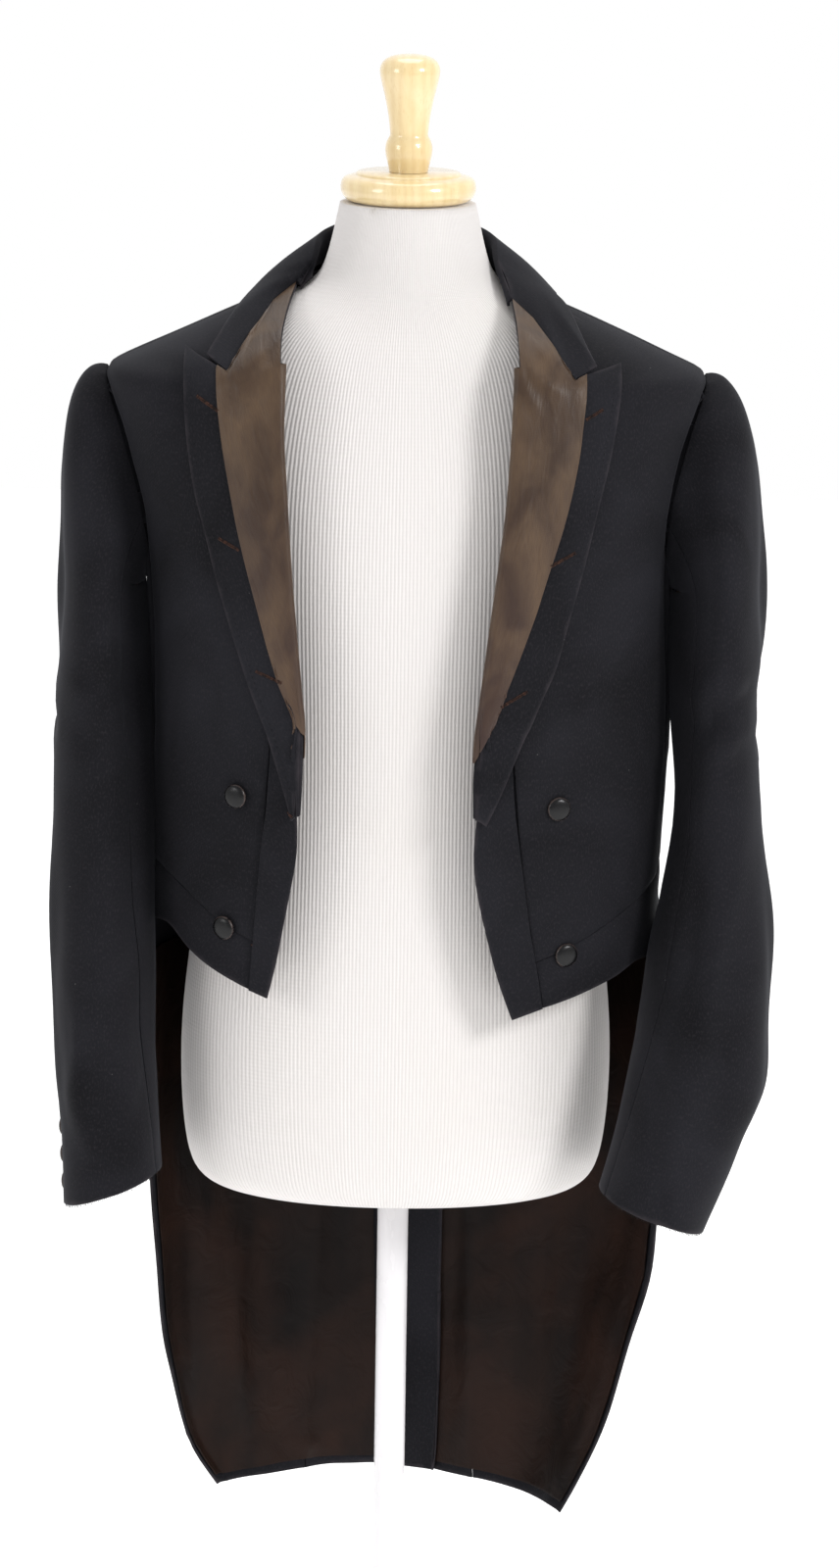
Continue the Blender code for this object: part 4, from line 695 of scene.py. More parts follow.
def lay_flat(made: bpy.types.Object) -> tuple[tuple[float, float], float]:
    """Unwrap a skin as a cutter's flat piece, in metres, with the grain upright.

    Args:
        made: Object of the skin's coarse mesh.

    Returns:
        Width and length of the flat piece, and its area.
    """
    mesh = made.data
    for name in [layer.name for layer in mesh.uv_layers]:
        mesh.uv_layers.remove(mesh.uv_layers[name])
    mesh.uv_layers.active = mesh.uv_layers.new(name="Pattern")
    bpy.context.view_layer.objects.active = made
    made.select_set(True)
    bpy.ops.object.mode_set(mode="EDIT")
    bpy.ops.mesh.select_all(action="SELECT")
    bpy.ops.uv.unwrap(method="MINIMUM_STRETCH", iterations=30, margin=0.0)
    bpy.ops.object.mode_set(mode="OBJECT")
    made.select_set(False)
    layer = mesh.uv_layers["Pattern"].data
    uv = np.zeros(len(layer) * 2)
    layer.foreach_get("uv", uv)
    uv = uv.reshape(-1, 2)
    space = np.array([mesh.vertices[loop.vertex_index].co for loop in mesh.loops])
    flat_area = 0.0
    for polygon in mesh.polygons:
        ring = uv[list(polygon.loop_indices)]
        x, y = ring[:, 0], ring[:, 1]
        flat_area += abs(np.dot(x, np.roll(y, -1)) - np.dot(y, np.roll(x, -1))) / 2
    area = sum(polygon.area for polygon in mesh.polygons)
    uv = (uv - uv.mean(axis=0)) * math.sqrt(area / max(flat_area, 1e-12))
    slope, *_ = np.linalg.lstsq(uv, space[:, 2] - space[:, 2].mean(), rcond=None)
    turn = math.pi / 2 - math.atan2(slope[1], slope[0])
    c, s = math.cos(turn), math.sin(turn)
    uv = uv @ np.array([[c, s], [-s, c]])
    layer.foreach_set("uv", uv.ravel())
    return flat_size(mesh), area


def flat_size(mesh: bpy.types.Mesh) -> tuple[float, float]:
    """Width and length of a skin's flat pattern."""
    uv = np.zeros(len(mesh.loops) * 2)
    mesh.uv_layers["Pattern"].data.foreach_get("uv", uv)
    width, length = np.ptp(uv.reshape(-1, 2), axis=0)
    return float(width), float(length)


def skin_of(node: str, wall: float, side: Side, levels: int) -> Skin:
    """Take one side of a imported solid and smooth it.

    Args:
        node: Name of the solid.
        wall: Its thickness.
        side: Side that the skin is taken from.
        levels: Rounds of subdivision.

    Returns:
        The smooth skin.
    """
    sheet = solid_sheet(node)
    groups = groups_of(side_faces(sheet, wall))
    centres = [face.calc_center_median() for group in groups for face in group]
    middle = sum(centres, Vector()) / len(centres)
    chosen = set(max(groups, key=lambda group: score_of(group, side, middle)))
    bmesh.ops.delete(sheet, geom=[f for f in sheet.faces if f not in chosen], context="FACES")
    bmesh.ops.join_triangles(sheet, faces=sheet.faces, angle_face_threshold=math.radians(50),
                             angle_shape_threshold=math.radians(180))
    sheet.verts.index_update()
    corners = sharp_corners(sheet)
    cut = np.array([[vert.co for vert in edge.verts] for edge in sheet.edges if edge.is_boundary])
    mesh = bpy.data.meshes.new(node)
    sheet.to_mesh(mesh)
    sheet.free()
    if "custom_normal" in mesh.attributes:
        mesh.attributes.remove(mesh.attributes["custom_normal"])
    crease = mesh.attributes.new("crease_vert", "FLOAT", "POINT")
    for index in corners:
        crease.data[index].value = 1.0
    made = bpy.data.objects.new(node + "_pattern", mesh)
    bpy.context.scene.collection.objects.link(made)
    flat, area = lay_flat(made)
    smooth = made.modifiers.new("smooth", "SUBSURF")
    smooth.levels = levels
    smooth.render_levels = levels
    smooth.boundary_smooth = "PRESERVE_CORNERS"
    smooth.uv_smooth = "PRESERVE_BOUNDARIES"
    fine = keep_points(made)
    bpy.data.objects.remove(made)
    return Skin(node, fine, flat, area, cut)


def keep_points(made: bpy.types.Object, rounds: int = 5) -> bpy.types.Mesh:
    """Smooth a pattern so that its surface still passes through the solid's own points.

    Args:
        made: Object of the coarse mesh, with its subdivision.
        rounds: Times that the coarse points are corrected.

    Returns:
        The smooth mesh.
    """
    mesh = made.data
    count = len(mesh.vertices)
    wanted = np.zeros(count * 3)
    mesh.vertices.foreach_get("co", wanted)
    held = wanted.copy()
    for turn in range(rounds + 1):
        fine = plain_mesh(made)
        if turn == rounds:
            return fine
        reached = np.zeros(len(fine.vertices) * 3)
        fine.vertices.foreach_get("co", reached)
        bpy.data.meshes.remove(fine)
        held += 0.85 * (wanted - reached[:count * 3])
        mesh.vertices.foreach_set("co", held)
        mesh.update()
    return fine


def plain_mesh(made: bpy.types.Object) -> bpy.types.Mesh:
    """The evaluated object as a plain mesh."""
    graph = bpy.context.evaluated_depsgraph_get()
    return bpy.data.meshes.new_from_object(made.evaluated_get(graph))


def settle(made: bpy.types.Object) -> bpy.types.Object:
    """Apply every modifier of an object.

    Args:
        made: Object with modifiers.

    Returns:
        The same object with a plain mesh.
    """
    mesh = plain_mesh(made)
    made.modifiers.clear()
    made.data = mesh
    return made


def swell(points: np.ndarray) -> np.ndarray:
    """Slow unevenness that no pressed cloth is free of, from crossing long waves.

    Args:
        points: Points of the skin.

    Returns:
        A signed value a point, mostly within 1.
    """
    x, y, z = points.T
    return (0.45 * np.sin(31 * x + 17 * z + 1.3) + 0.35 * np.sin(47 * y - 23 * z + 0.4)
            + 0.3 * np.sin(71 * x + 53 * y + 9 * z + 2.1) + 0.2 * np.sin(97 * x - 61 * z))


class Neighbours:
    """Finds where a skin's border is sewn to another piece."""

    def __init__(self, names: list[str]) -> None:
        """Read the solids of all cloth pieces once."""
        self.trees = {}
        for name in names:
            sheet = solid_sheet(name)
            self.trees[name] = BVHTree.FromBMesh(sheet)
            sheet.free()

    def sewn(self, name: str, points: np.ndarray, reach: float = 0.0016) -> np.ndarray:
        """Which points lie against another piece's solid.

        Args:
            name: Piece that the points belong to.
            points: Border points.
            reach: Widest gap that counts as sewn.

        Returns:
            True for each point on a seam.
        """
        found = []
        for point in points:
            spot = Vector(point)
            found.append(any(tree.find_nearest(spot, reach)[0] is not None
                             for other, tree in self.trees.items() if other != name))
        return np.array(found)


@dataclass
class ClothPiece:
    """One panel of cloth, dressed over the solid of the same name."""

    node: str
    finish: Finish = WOOL
    wall: float = CLOTH
    side: Side = Side.OUTSIDE
    levels: int = 3
    folds: tuple[Fold, ...] = ()
    far_folds: tuple[Fold, ...] = ()
    uneven: float = 0.0006
    lift: float = 0.0
    seam_depth: float = 0.0007
    seam_width: float = 0.0030
    held: str = "draped"
    rests_on: tuple[str, ...] = ("form_torso",)
    slot: str = "black_wool"
    lining: Finish | None = None
    lining_above: float = -1.0
    allowance: float = 0.0
    allowance_above: float = -1.0
    skin: Skin | None = None

    def shape(self, neighbours: Neighbours) -> Skin:
        """Make the skin with its folds, seams and unevenness.

        Args:
            neighbours: The pieces that this one may be sewn to.

        Returns:
            The shaped skin.
        """
        skin = skin_of(self.node, self.wall, self.side, self.levels)
        points, normals = skin.points(), skin.normals()
        rim = skin.rim()
        on_seam = neighbours.sewn(self.node, points[rim], 0.0030)
        points = self.to_cut(skin, points, np.array(rim)[on_seam])
        to_seam = self.distance_to(points, points[rim][on_seam])
        to_edge = self.distance_to(points, points[rim])
        rise = self.lift + self.uneven * swell(points) * np.clip(to_edge / 0.02, 0.0, 1.0)
        for fold in self.folds:
            rise += fold.heights(points, normals)
        for fold in self.far_folds:
            rise -= fold.heights(points, -normals)
        rise -= self.seam_depth * np.exp(-(to_seam / self.seam_width) ** 2)
        skin.move(points + normals * rise[:, None])
        skin.seam = set(np.array(rim)[on_seam].tolist())
        free = self.distance_to(points, points[rim][~on_seam])
        edge = skin.mesh.attributes.new("edge", "FLOAT", "POINT")
        edge.data.foreach_set("value", np.exp(-free / 0.004).astype(np.float32))
        self.skin = skin
        return skin

    def turn_under(self, made: bpy.types.Object, skin: Skin) -> None:
        """Add the seam allowance: a strip behind the cloth that reaches under its neighbour.

        Args:
            made: The thickened piece.
            skin: Its shaped skin.
        """
        sheet = bmesh.new()
        sheet.from_mesh(skin.mesh)
        sheet.normal_update()
        outward = {}
        edges = [edge for edge in sheet.edges if edge.is_boundary and all(
            vert.index in skin.seam and vert.co.z > self.allowance_above for vert in edge.verts)]
        for edge in edges:
            middle = (edge.verts[0].co + edge.verts[1].co) / 2
            off = middle - edge.link_faces[0].calc_center_median()
            line = (edge.verts[1].co - edge.verts[0].co).normalized()
            off = (off - line * off.dot(line)).normalized()
            for vert in edge.verts:
                outward[vert] = outward.get(vert, Vector()) + off
        strip = bmesh.new()
        strip.from_mesh(made.data)
        rows = {}
        for vert, off in outward.items():
            off = off.normalized()
            deep = vert.co - vert.normal * (self.wall + 0.0003)
            rows[vert] = [strip.verts.new(deep + off * reach - vert.normal * sink)
                          for sink in (0.0, 0.0005) for reach in (-0.0025, self.allowance)]
        for edge in edges:
            a, b = (rows[vert] for vert in edge.verts)
            for p, q in ((0, 1), (1, 3), (3, 2), (2, 0)):
                strip.faces.new((a[p], a[q], b[q], b[p]))
        strip.normal_update()
        strip.to_mesh(made.data)
        strip.free()
        sheet.free()

    @staticmethod
    def to_cut(skin: Skin, points: np.ndarray, sewn: np.ndarray, reach: float = 0.007) -> np.ndarray:
        """Draw sewn borders onto the solid's cut line, and the cloth near them a part of the way.

        Args:
            skin: The skin.
            points: Its points.
            sewn: Indices of the border points on a seam.
            reach: How far in the cloth follows.

        Returns:
            The points in their new places.
        """
        if not len(sewn):
            return points
        pull = skin.on_cut(points[sewn]) - points[sewn]
        finder = KDTree(len(sewn))
        for index, point in enumerate(points[sewn]):
            finder.insert(point, index)
        finder.balance()
        moved = points.copy()
        for index, point in enumerate(points):
            _, near, gap = finder.find(point)
            if gap < 3 * reach:
                moved[index] = point + pull[near] * math.exp(-(gap / reach) ** 2)
        return moved

    @staticmethod
    def distance_to(points: np.ndarray, targets: np.ndarray) -> np.ndarray:
        """Distance from each point to the nearest target, or a long way with no target."""
        if not len(targets):
            return np.full(len(points), 1.0)
        tree = KDTree(len(targets))
        for index, target in enumerate(targets):
            tree.insert(target, index)
        tree.balance()
        return np.array([tree.find(point)[2] for point in points])

    def build(self, neighbours: Neighbours) -> bpy.types.Object:
        """Make the piece and dress it.

        Args:
            neighbours: The pieces that this one may be sewn to.

        Returns:
            The finished piece.
        """
        skin = self.skin or self.shape(neighbours)
        return self.thicken(skin, self.node + "_cloth")

    def thicken(self, skin: Skin, name: str) -> bpy.types.Object:
        """Give a skin its wall, rounded edges and finish.

        Args:
            skin: The shaped skin.
            name: Name of the finished piece.

        Returns:
            The finished piece.
        """
        made = bpy.data.objects.new(name, skin.mesh.copy())
        bpy.context.scene.collection.objects.link(made)
        made.data.materials.clear()
        made.data.materials.append(self.finish.material())
        if self.lining:
            made.data.materials.append(self.lining.material())
        solid = made.modifiers.new("wall", "SOLIDIFY")
        solid.thickness = self.wall
        solid.offset = -1.0
        solid.use_even_offset = False
        solid.material_offset = 1 if self.lining else 0
        solid.material_offset_rim = 0
        edge = made.modifiers.new("edge", "BEVEL")
        edge.width = self.wall * 0.3
        edge.segments = 2
        edge.limit_method = "ANGLE"
        edge.angle_limit = math.radians(62)
        settle(made)
        if self.allowance and skin.seam is not None:
            self.turn_under(made, skin)
        if self.lining:
            for polygon in made.data.polygons:
                if polygon.material_index == 1 and polygon.center.z < self.lining_above:
                    polygon.material_index = 0
        made.data.shade_smooth()
        dress(made, self.slot, self.node)
        return made


def dress(made: bpy.types.Object, slot: str, *nodes: str) -> bpy.types.Object:
    """Tie a finished piece to the body, and hide the solids that it stands for.

    Args:
        made: The piece.
        slot: Not used.
        *nodes: Solids that it replaces.

    Returns:
        The piece.
    """
    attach(made, "root")
    if nodes:
        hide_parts(*nodes)
    return made


def mesh_object(name: str, points, faces, edges=()) -> bpy.types.Object:
    """A linked object from lists of points and faces.

    Args:
        name: Name of the object.
        points: Point coordinates.
        faces: Point indices of each face.
        edges: Loose edges.

    Returns:
        The object.
    """
    mesh = bpy.data.meshes.new(name)
    mesh.from_pydata([tuple(map(float, p)) for p in points], list(edges), [tuple(f) for f in faces])
    mesh.update()
    made = bpy.data.objects.new(name, mesh)
    bpy.context.scene.collection.objects.link(made)
    return made


@dataclass
class Stand:
    """The jersey-covered torso, its turned cap and finial, and the painted pole and base."""

    axis_steps: int = 72
    rib_circle: float = 0.110
    profiles: dict[str, tuple[tuple[float, float], ...]] = field(default_factory=lambda: {
        "neck_cap": ((0.0, 1.4115), (0.0385, 1.4115), (0.0398, 1.4106), (0.0402, 1.4096), (0.0430, 1.4090),
                     (0.0470, 1.4080), (0.0492, 1.4067), (0.0506, 1.4046), (0.0514, 1.4010),
                     (0.0513, 1.3985), (0.0506, 1.3958), (0.0492, 1.3932), (0.0470, 1.3911),
                     (0.0440, 1.3895), (0.0, 1.3895)),
        "finial": ((0.0, 1.5005), (0.0060, 1.5003), (0.0110, 1.4996), (0.0150, 1.4985), (0.0183, 1.4967),
                   (0.0208, 1.4944), (0.0223, 1.4915), (0.0229, 1.4880), (0.0226, 1.4850),
                   (0.0215, 1.4795), (0.0200, 1.4735), (0.0184, 1.4670), (0.0171, 1.4605),
                   (0.0158, 1.4535), (0.0150, 1.4470), (0.0144, 1.4410), (0.0145, 1.4390),
                   (0.0156, 1.4372), (0.0168, 1.4348), (0.0177, 1.4315), (0.0179, 1.4280),
                   (0.0175, 1.4240), (0.0165, 1.4200), (0.0155, 1.4160), (0.0150, 1.4135),
                   (0.0148, 1.4118), (0.0, 1.4118)),
        "pole": ((0.0, 0.6225), (0.0116, 0.6225), (0.0120, 0.6221), (0.0120, 0.4800), (0.0120, 0.3400),
                 (0.0120, 0.2000), (0.0120, 0.0625), (0.0, 0.0625)),
        "base_hub": ((0.0, 0.0620), (0.0142, 0.0620), (0.0156, 0.0613), (0.0167, 0.0601), (0.0190, 0.0575),
                     (0.0205, 0.0530), (0.0213, 0.0430), (0.0222, 0.0310), (0.0230, 0.0270),
                     (0.0244, 0.0220), (0.0258, 0.0185), (0.0260, 0.0183), (0.0, 0.0183)),
        "base": ((0.0, 0.0180), (0.0600, 0.0180), (0.1000, 0.0145), (0.1400, 0.0107), (0.1560, 0.0090),
                 (0.1585, 0.0082), (0.1598, 0.0066), (0.1600, 0.0050), (0.1600, 0.0012),
                 (0.1595, 0.0003), (0.1585, 0.0), (0.0, 0.0)),
    })

    def turned(self, name: str, finish: Finish, slot: str) -> bpy.types.Object:
        """Turn a profile about the stand's axis.

        Args:
            name: Solid that the turned piece stands for.
            finish: Its finish.
            slot: Passed on to dress.

        Returns:
            The dressed piece.
        """
        profile = self.profiles[name]
        steps = self.axis_steps
        points, faces = [], []
        for radius, height in profile[1:-1]:
            for k in range(steps):
                turn = 2 * math.pi * k / steps
                points.append((radius * math.cos(turn), radius * math.sin(turn), height))
        rings = len(profile) - 2
        for r in range(rings - 1):
            for k in range(steps):
                a, b = r * steps + k, r * steps + (k + 1) % steps
                faces.append((a, a + steps, b + steps, b))
        points += [(0.0, 0.0, profile[0][1]), (0.0, 0.0, profile[-1][1])]
        top, low = len(points) - 2, len(points) - 1
        last = (rings - 1) * steps
        for k in range(steps):
            after = (k + 1) % steps
            faces.append((k, after, top))
            faces.append((last + after, last + k, low))
        made = mesh_object(name + "_turned", points, faces)
        made.data.materials.append(finish.material())
        made.data.shade_smooth()
        made.data.set_sharp_from_angle(angle=math.radians(50))
        dress(made, slot, name)
        log.info("%s: %d faces", made.name, len(made.data.polygons))
        return made

    def torso(self) -> bpy.types.Object:
        """Smooth the torso and lay the jersey's ribs round it.

        Returns:
            The dressed torso.
        """
        sheet = solid_sheet("form_torso")
        bmesh.ops.join_triangles(sheet, faces=sheet.faces, angle_face_threshold=math.radians(40),
                                 angle_shape_threshold=math.radians(180))
        crease = sheet.edges.layers.float.new("crease_edge")
        for edge in sheet.edges:
            if len(edge.link_faces) == 2 and edge.calc_face_angle() > math.radians(50):
                edge[crease] = 0.85
        mesh = bpy.data.meshes.new("form_torso_jersey")
        sheet.to_mesh(mesh)
        sheet.free()
        if "custom_normal" in mesh.attributes:
            mesh.attributes.remove(mesh.attributes["custom_normal"])
        made = bpy.data.objects.new("form_torso_jersey", mesh)
        bpy.context.scene.collection.objects.link(made)
        smooth = made.modifiers.new("smooth", "SUBSURF")
        smooth.levels = 2
        smooth.render_levels = 2
        settle(made)
        self.lay_ribs(made.data)
        made.data.materials.clear()
        made.data.materials.append(JERSEY.material())
        made.data.shade_smooth()
        dress(made, "pale_knit", "form_torso")
        log.info("%s: %d faces", made.name, len(made.data.polygons))
        return made

    def lay_ribs(self, mesh: bpy.types.Mesh) -> None:
        """Write UVs that run round the torso and up it, in metres.

        Args:
            mesh: The smooth torso.
        """
        pitch = JERSEY.rib_pitch
        circle = round(2 * math.pi * self.rib_circle / pitch) * pitch
        for name in [layer.name for layer in mesh.uv_layers]:
            mesh.uv_layers.remove(mesh.uv_layers[name])
        layer = mesh.uv_layers.new(name="Pattern").data
        for polygon in mesh.polygons:
            turns = []
            for loop in polygon.loop_indices:
                x, y, _ = mesh.vertices[mesh.loops[loop].vertex_index].co
                turns.append(math.atan2(x, -y) / (2 * math.pi))
            split = max(turns) - min(turns) > 0.5
            for loop, turn in zip(polygon.loop_indices, turns):
                turn += 1.0 if split and turn < 0 else 0.0
                layer[loop].uv = (turn * circle, mesh.vertices[mesh.loops[loop].vertex_index].co.z)

    def build(self) -> None:
        """Make every piece of the stand."""
        self.torso()
        self.turned("neck_cap", MAPLE, "pale_maple")
        self.turned("finial", MAPLE, "pale_maple")
        for name in ("pole", "base_hub", "base"):
            self.turned(name, ENAMEL, "white_paint")


# Folds of the body, seen from the front: drapes by the arms and pulls at the waist
BODY_FOLDS = (
    Fold(View.FRONT, ((-0.214, 1.240), (-0.205, 1.190), (-0.190, 1.135)), 0.012, -0.0016),
    Fold(View.FRONT, ((0.214, 1.240), (0.208, 1.180), (0.192, 1.125)), 0.012, -0.0016),
    Fold(View.FRONT, ((-0.165, 1.175), (-0.150, 1.100), (-0.150, 1.020)), 0.014, 0.0012),
    Fold(View.FRONT, ((0.165, 1.165), (0.152, 1.090), (0.150, 1.010)), 0.014, 0.0012),
    Fold(View.FRONT, ((-0.160, 0.985), (-0.125, 0.975), (-0.090, 0.955)), 0.009, 0.0010),
    Fold(View.FRONT, ((0.160, 0.975), (0.120, 0.968), (0.085, 0.945)), 0.009, 0.0010),
    Fold(View.FRONT, ((-0.150, 0.900), (-0.128, 0.850), (-0.120, 0.810)), 0.011, 0.0010),
    Fold(View.FRONT, ((0.150, 0.895), (0.130, 0.850), (0.118, 0.805)), 0.011, 0.0010),
    Fold(View.LEFT, ((0.010, 1.080), (0.020, 1.000), (0.012, 0.930)), 0.013, -0.0014),
    Fold(View.RIGHT, ((0.012, 1.070), (0.022, 0.990), (0.010, 0.925)), 0.013, -0.0014),
    Fold(View.LEFT, ((-0.040, 1.000), (0.010, 0.985), (0.060, 0.990)), 0.009, -0.0012),
    Fold(View.RIGHT, ((-0.040, 0.995), (0.015, 0.982), (0.062, 0.992)), 0.009, -0.0012),
    Fold(View.BACK, ((-0.120, 1.270), (-0.060, 1.225), (-0.020, 1.235)), 0.014, -0.0014),
    Fold(View.BACK, ((0.120, 1.265), (0.060, 1.228), (0.018, 1.232)), 0.014, -0.0014),
    Fold(View.BACK, ((-0.155, 1.200), (-0.110, 1.110), (-0.085, 1.010)), 0.016, 0.0014),
    Fold(View.BACK, ((0.155, 1.195), (0.112, 1.105), (0.080, 1.005)), 0.016, 0.0014),
    Fold(View.BACK, ((-0.100, 0.985), (-0.050, 0.970), (0.0, 0.978), (0.060, 0.966), (0.105, 0.983)),
         0.009, -0.0013),
    Fold(View.BACK, ((-0.080, 1.005), (-0.030, 0.996), (0.030, 0.999)), 0.008, -0.0009),
)

# Folds of the tails: long vertical waves, and creases across where they were folded away
TAIL_FOLDS = (
    Fold(View.BACK, ((-0.150, 0.760), (-0.140, 0.600), (-0.150, 0.400)), 0.016, 0.0020),
    Fold(View.BACK, ((0.150, 0.760), (0.142, 0.590), (0.148, 0.400)), 0.016, 0.0020),
    Fold(View.BACK, ((-0.085, 0.780), (-0.075, 0.620), (-0.080, 0.380)), 0.018, -0.0018),
    Fold(View.BACK, ((0.088, 0.770), (0.072, 0.610), (0.078, 0.370)), 0.018, -0.0018),
    Fold(View.BACK, ((-0.100, 0.478), (-0.060, 0.482), (-0.020, 0.487)), 0.006, -0.0010),
    Fold(View.BACK, ((0.030, 0.473), (0.090, 0.476), (0.130, 0.488)), 0.006, -0.0010),
    Fold(View.LEFT, ((0.030, 0.800), (0.040, 0.660), (0.055, 0.500)), 0.016, -0.0020),
    Fold(View.RIGHT, ((0.030, 0.800), (0.042, 0.650), (0.055, 0.500)), 0.016, -0.0020),
)

BODY_FOLDS += (
    Fold(View.RIGHT, ((0.010, 1.150), (0.005, 1.050), (0.0, 0.960), (0.005, 0.860), (0.010, 0.760)),
         0.055, 0.0062, 0.1),
    Fold(View.LEFT, ((0.010, 1.150), (0.005, 1.060), (0.005, 0.960)), 0.050, 0.0046, 0.1),
    Fold(View.LEFT, ((0.0, 0.855), (0.010, 0.760)), 0.035, 0.0050, 0.1),
)

LINING_FOLDS = (
    Fold(View.FRONT, ((-0.1602, 0.560), (-0.1580, 0.480), (-0.1522, 0.3696)), 0.009, -0.0031),
    Fold(View.FRONT, ((-0.1231, 0.5519), (-0.1235, 0.460), (-0.1244, 0.3558)), 0.007, 0.0022),
    Fold(View.FRONT, ((-0.1023, 0.4757), (-0.0554, 0.4788), (-0.0250, 0.4870)), 0.005, 0.0014),
    Fold(View.FRONT, ((-0.0800, 0.3644), (-0.0550, 0.3560), (-0.0381, 0.3516)), 0.006, 0.0013),
    Fold(View.FRONT, ((-0.0620, 0.580), (-0.0580, 0.480), (-0.0650, 0.380)), 0.012, 0.0017),
    Fold(View.FRONT, ((0.1169, 0.580), (0.1172, 0.460), (0.1162, 0.350)), 0.009, -0.0031),
    Fold(View.FRONT, ((0.1714, 0.5253), (0.1620, 0.470), (0.1500, 0.4093)), 0.009, 0.0022),
    Fold(View.FRONT, ((0.0475, 0.4730), (0.0947, 0.4762), (0.1258, 0.4882)), 0.005, 0.0014),
    Fold(View.FRONT, ((0.0600, 0.580), (0.0640, 0.470), (0.0560, 0.360)), 0.012, 0.0017),
    Fold(View.FRONT, ((0.0300, 0.700), (0.0700, 0.680), (0.1100, 0.700)), 0.010, 0.0014),
)

SLEEVE_FOLDS = (
    Fold(View.LEFT, ((0.0, 1.150), (-0.015, 1.040), (-0.030, 0.950), (-0.050, 0.850), (-0.060, 0.740)),
         0.050, 0.0078, 0.1, -1),
    Fold(View.RIGHT, ((0.0, 1.150), (-0.015, 1.050), (-0.025, 0.950)), 0.045, 0.0046, 0.1, 1),
    Fold(View.RIGHT, ((-0.045, 0.860), (-0.060, 0.760)), 0.035, 0.0040, 0.1, 1),
    Fold(View.FRONT, ((-0.2231, 1.2100), (-0.2198, 1.0885), (-0.2237, 0.9551)), 0.011, 0.0036),
    Fold(View.FRONT, ((-0.2237, 0.9700), (-0.2261, 0.8363), (-0.2265, 0.7319)), 0.010, 0.0033),
    Fold(View.FRONT, ((-0.2043, 1.1290), (-0.2006, 0.9800), (-0.2009, 0.8403)), 0.008, -0.0030),
    Fold(View.FRONT, ((-0.2447, 0.8047), (-0.2400, 0.7152), (-0.2244, 0.6562)), 0.009, 0.0030),
    Fold(View.FRONT, ((-0.1953, 0.6921), (-0.1892, 0.7400), (-0.1930, 0.8000)), 0.007, -0.0024),
    Fold(View.FRONT, ((-0.2420, 1.0400), (-0.2230, 1.0250), (-0.2020, 1.0320)), 0.007, -0.0024),
    Fold(View.FRONT, ((-0.2440, 0.9950), (-0.2250, 0.9780), (-0.2050, 0.9850)), 0.007, -0.0021),
    Fold(View.FRONT, ((0.2385, 1.2200), (0.2470, 1.1110), (0.2465, 1.0228)), 0.011, 0.0036),
    Fold(View.FRONT, ((0.2686, 1.0316), (0.2414, 1.0193), (0.2168, 0.9996)), 0.009, -0.0045),
    Fold(View.FRONT, ((0.2700, 1.0050), (0.2500, 0.9960), (0.2250, 0.9760)), 0.008, 0.0030),
    Fold(View.FRONT, ((0.2575, 0.9631), (0.2514, 0.8768), (0.2307, 0.7757), (0.2139, 0.6870)), 0.010, 0.0033),
    Fold(View.FRONT, ((0.2260, 0.9300), (0.2189, 0.8321), (0.1990, 0.7400), (0.1878, 0.7000)), 0.008, -0.0027),
    Fold(View.FRONT, ((0.2024, 0.6718), (0.2027, 0.6553), (0.2060, 0.6300)), 0.005, -0.0018),
    Fold(View.BACK, ((0.2350, 1.1800), (0.2400, 1.0800), (0.2450, 1.0200)), 0.012, 0.0027),
    Fold(View.BACK, ((-0.2350, 1.1750), (-0.2250, 1.0700), (-0.2300, 1.0000)), 0.012, 0.0027),
    Fold(View.BACK, ((0.2650, 1.0000), (0.2450, 0.9850), (0.2250, 0.9950)), 0.008, -0.0027),
    Fold(View.BACK, ((-0.2450, 0.9950), (-0.2250, 0.9820), (-0.2050, 0.9920)), 0.008, -0.0027),
    Fold(View.LEFT, ((-0.0450, 0.9850), (-0.0150, 1.0000), (0.0200, 0.9900)), 0.008, -0.0039, 0.35, 1),
    Fold(View.LEFT, ((-0.0350, 0.9500), (-0.0100, 0.9600), (0.0200, 0.9550)), 0.008, -0.0030, 0.35, 1),
    Fold(View.LEFT, ((0.0050, 1.2000), (-0.0050, 1.1000), (0.0000, 1.0300)), 0.013, 0.0036, 0.35, 1),
    Fold(View.LEFT, ((-0.0500, 0.9000), (-0.0650, 0.8000), (-0.0850, 0.7000)), 0.012, 0.0033, 0.35, 1),
    Fold(View.RIGHT, ((-0.0450, 0.9900), (-0.0150, 1.0020), (0.0200, 0.9930)), 0.008, -0.0036, 0.35, -1),
    Fold(View.RIGHT, ((0.0050, 1.1900), (-0.0040, 1.1000), (0.0020, 1.0300)), 0.013, 0.0036, 0.35, -1),
    Fold(View.RIGHT, ((-0.0500, 0.9000), (-0.0550, 0.8000), (-0.0650, 0.7000)), 0.012, 0.0033, 0.35, -1),
)

LAPEL_FOLDS = (
    Fold(View.FRONT, ((0.1150, 1.2300), (0.1250, 1.1500), (0.1180, 1.0600)), 0.016, 0.0008),
    Fold(View.FRONT, ((-0.1150, 1.2300), (-0.1280, 1.1500), (-0.1200, 1.0600)), 0.016, 0.0008),
)

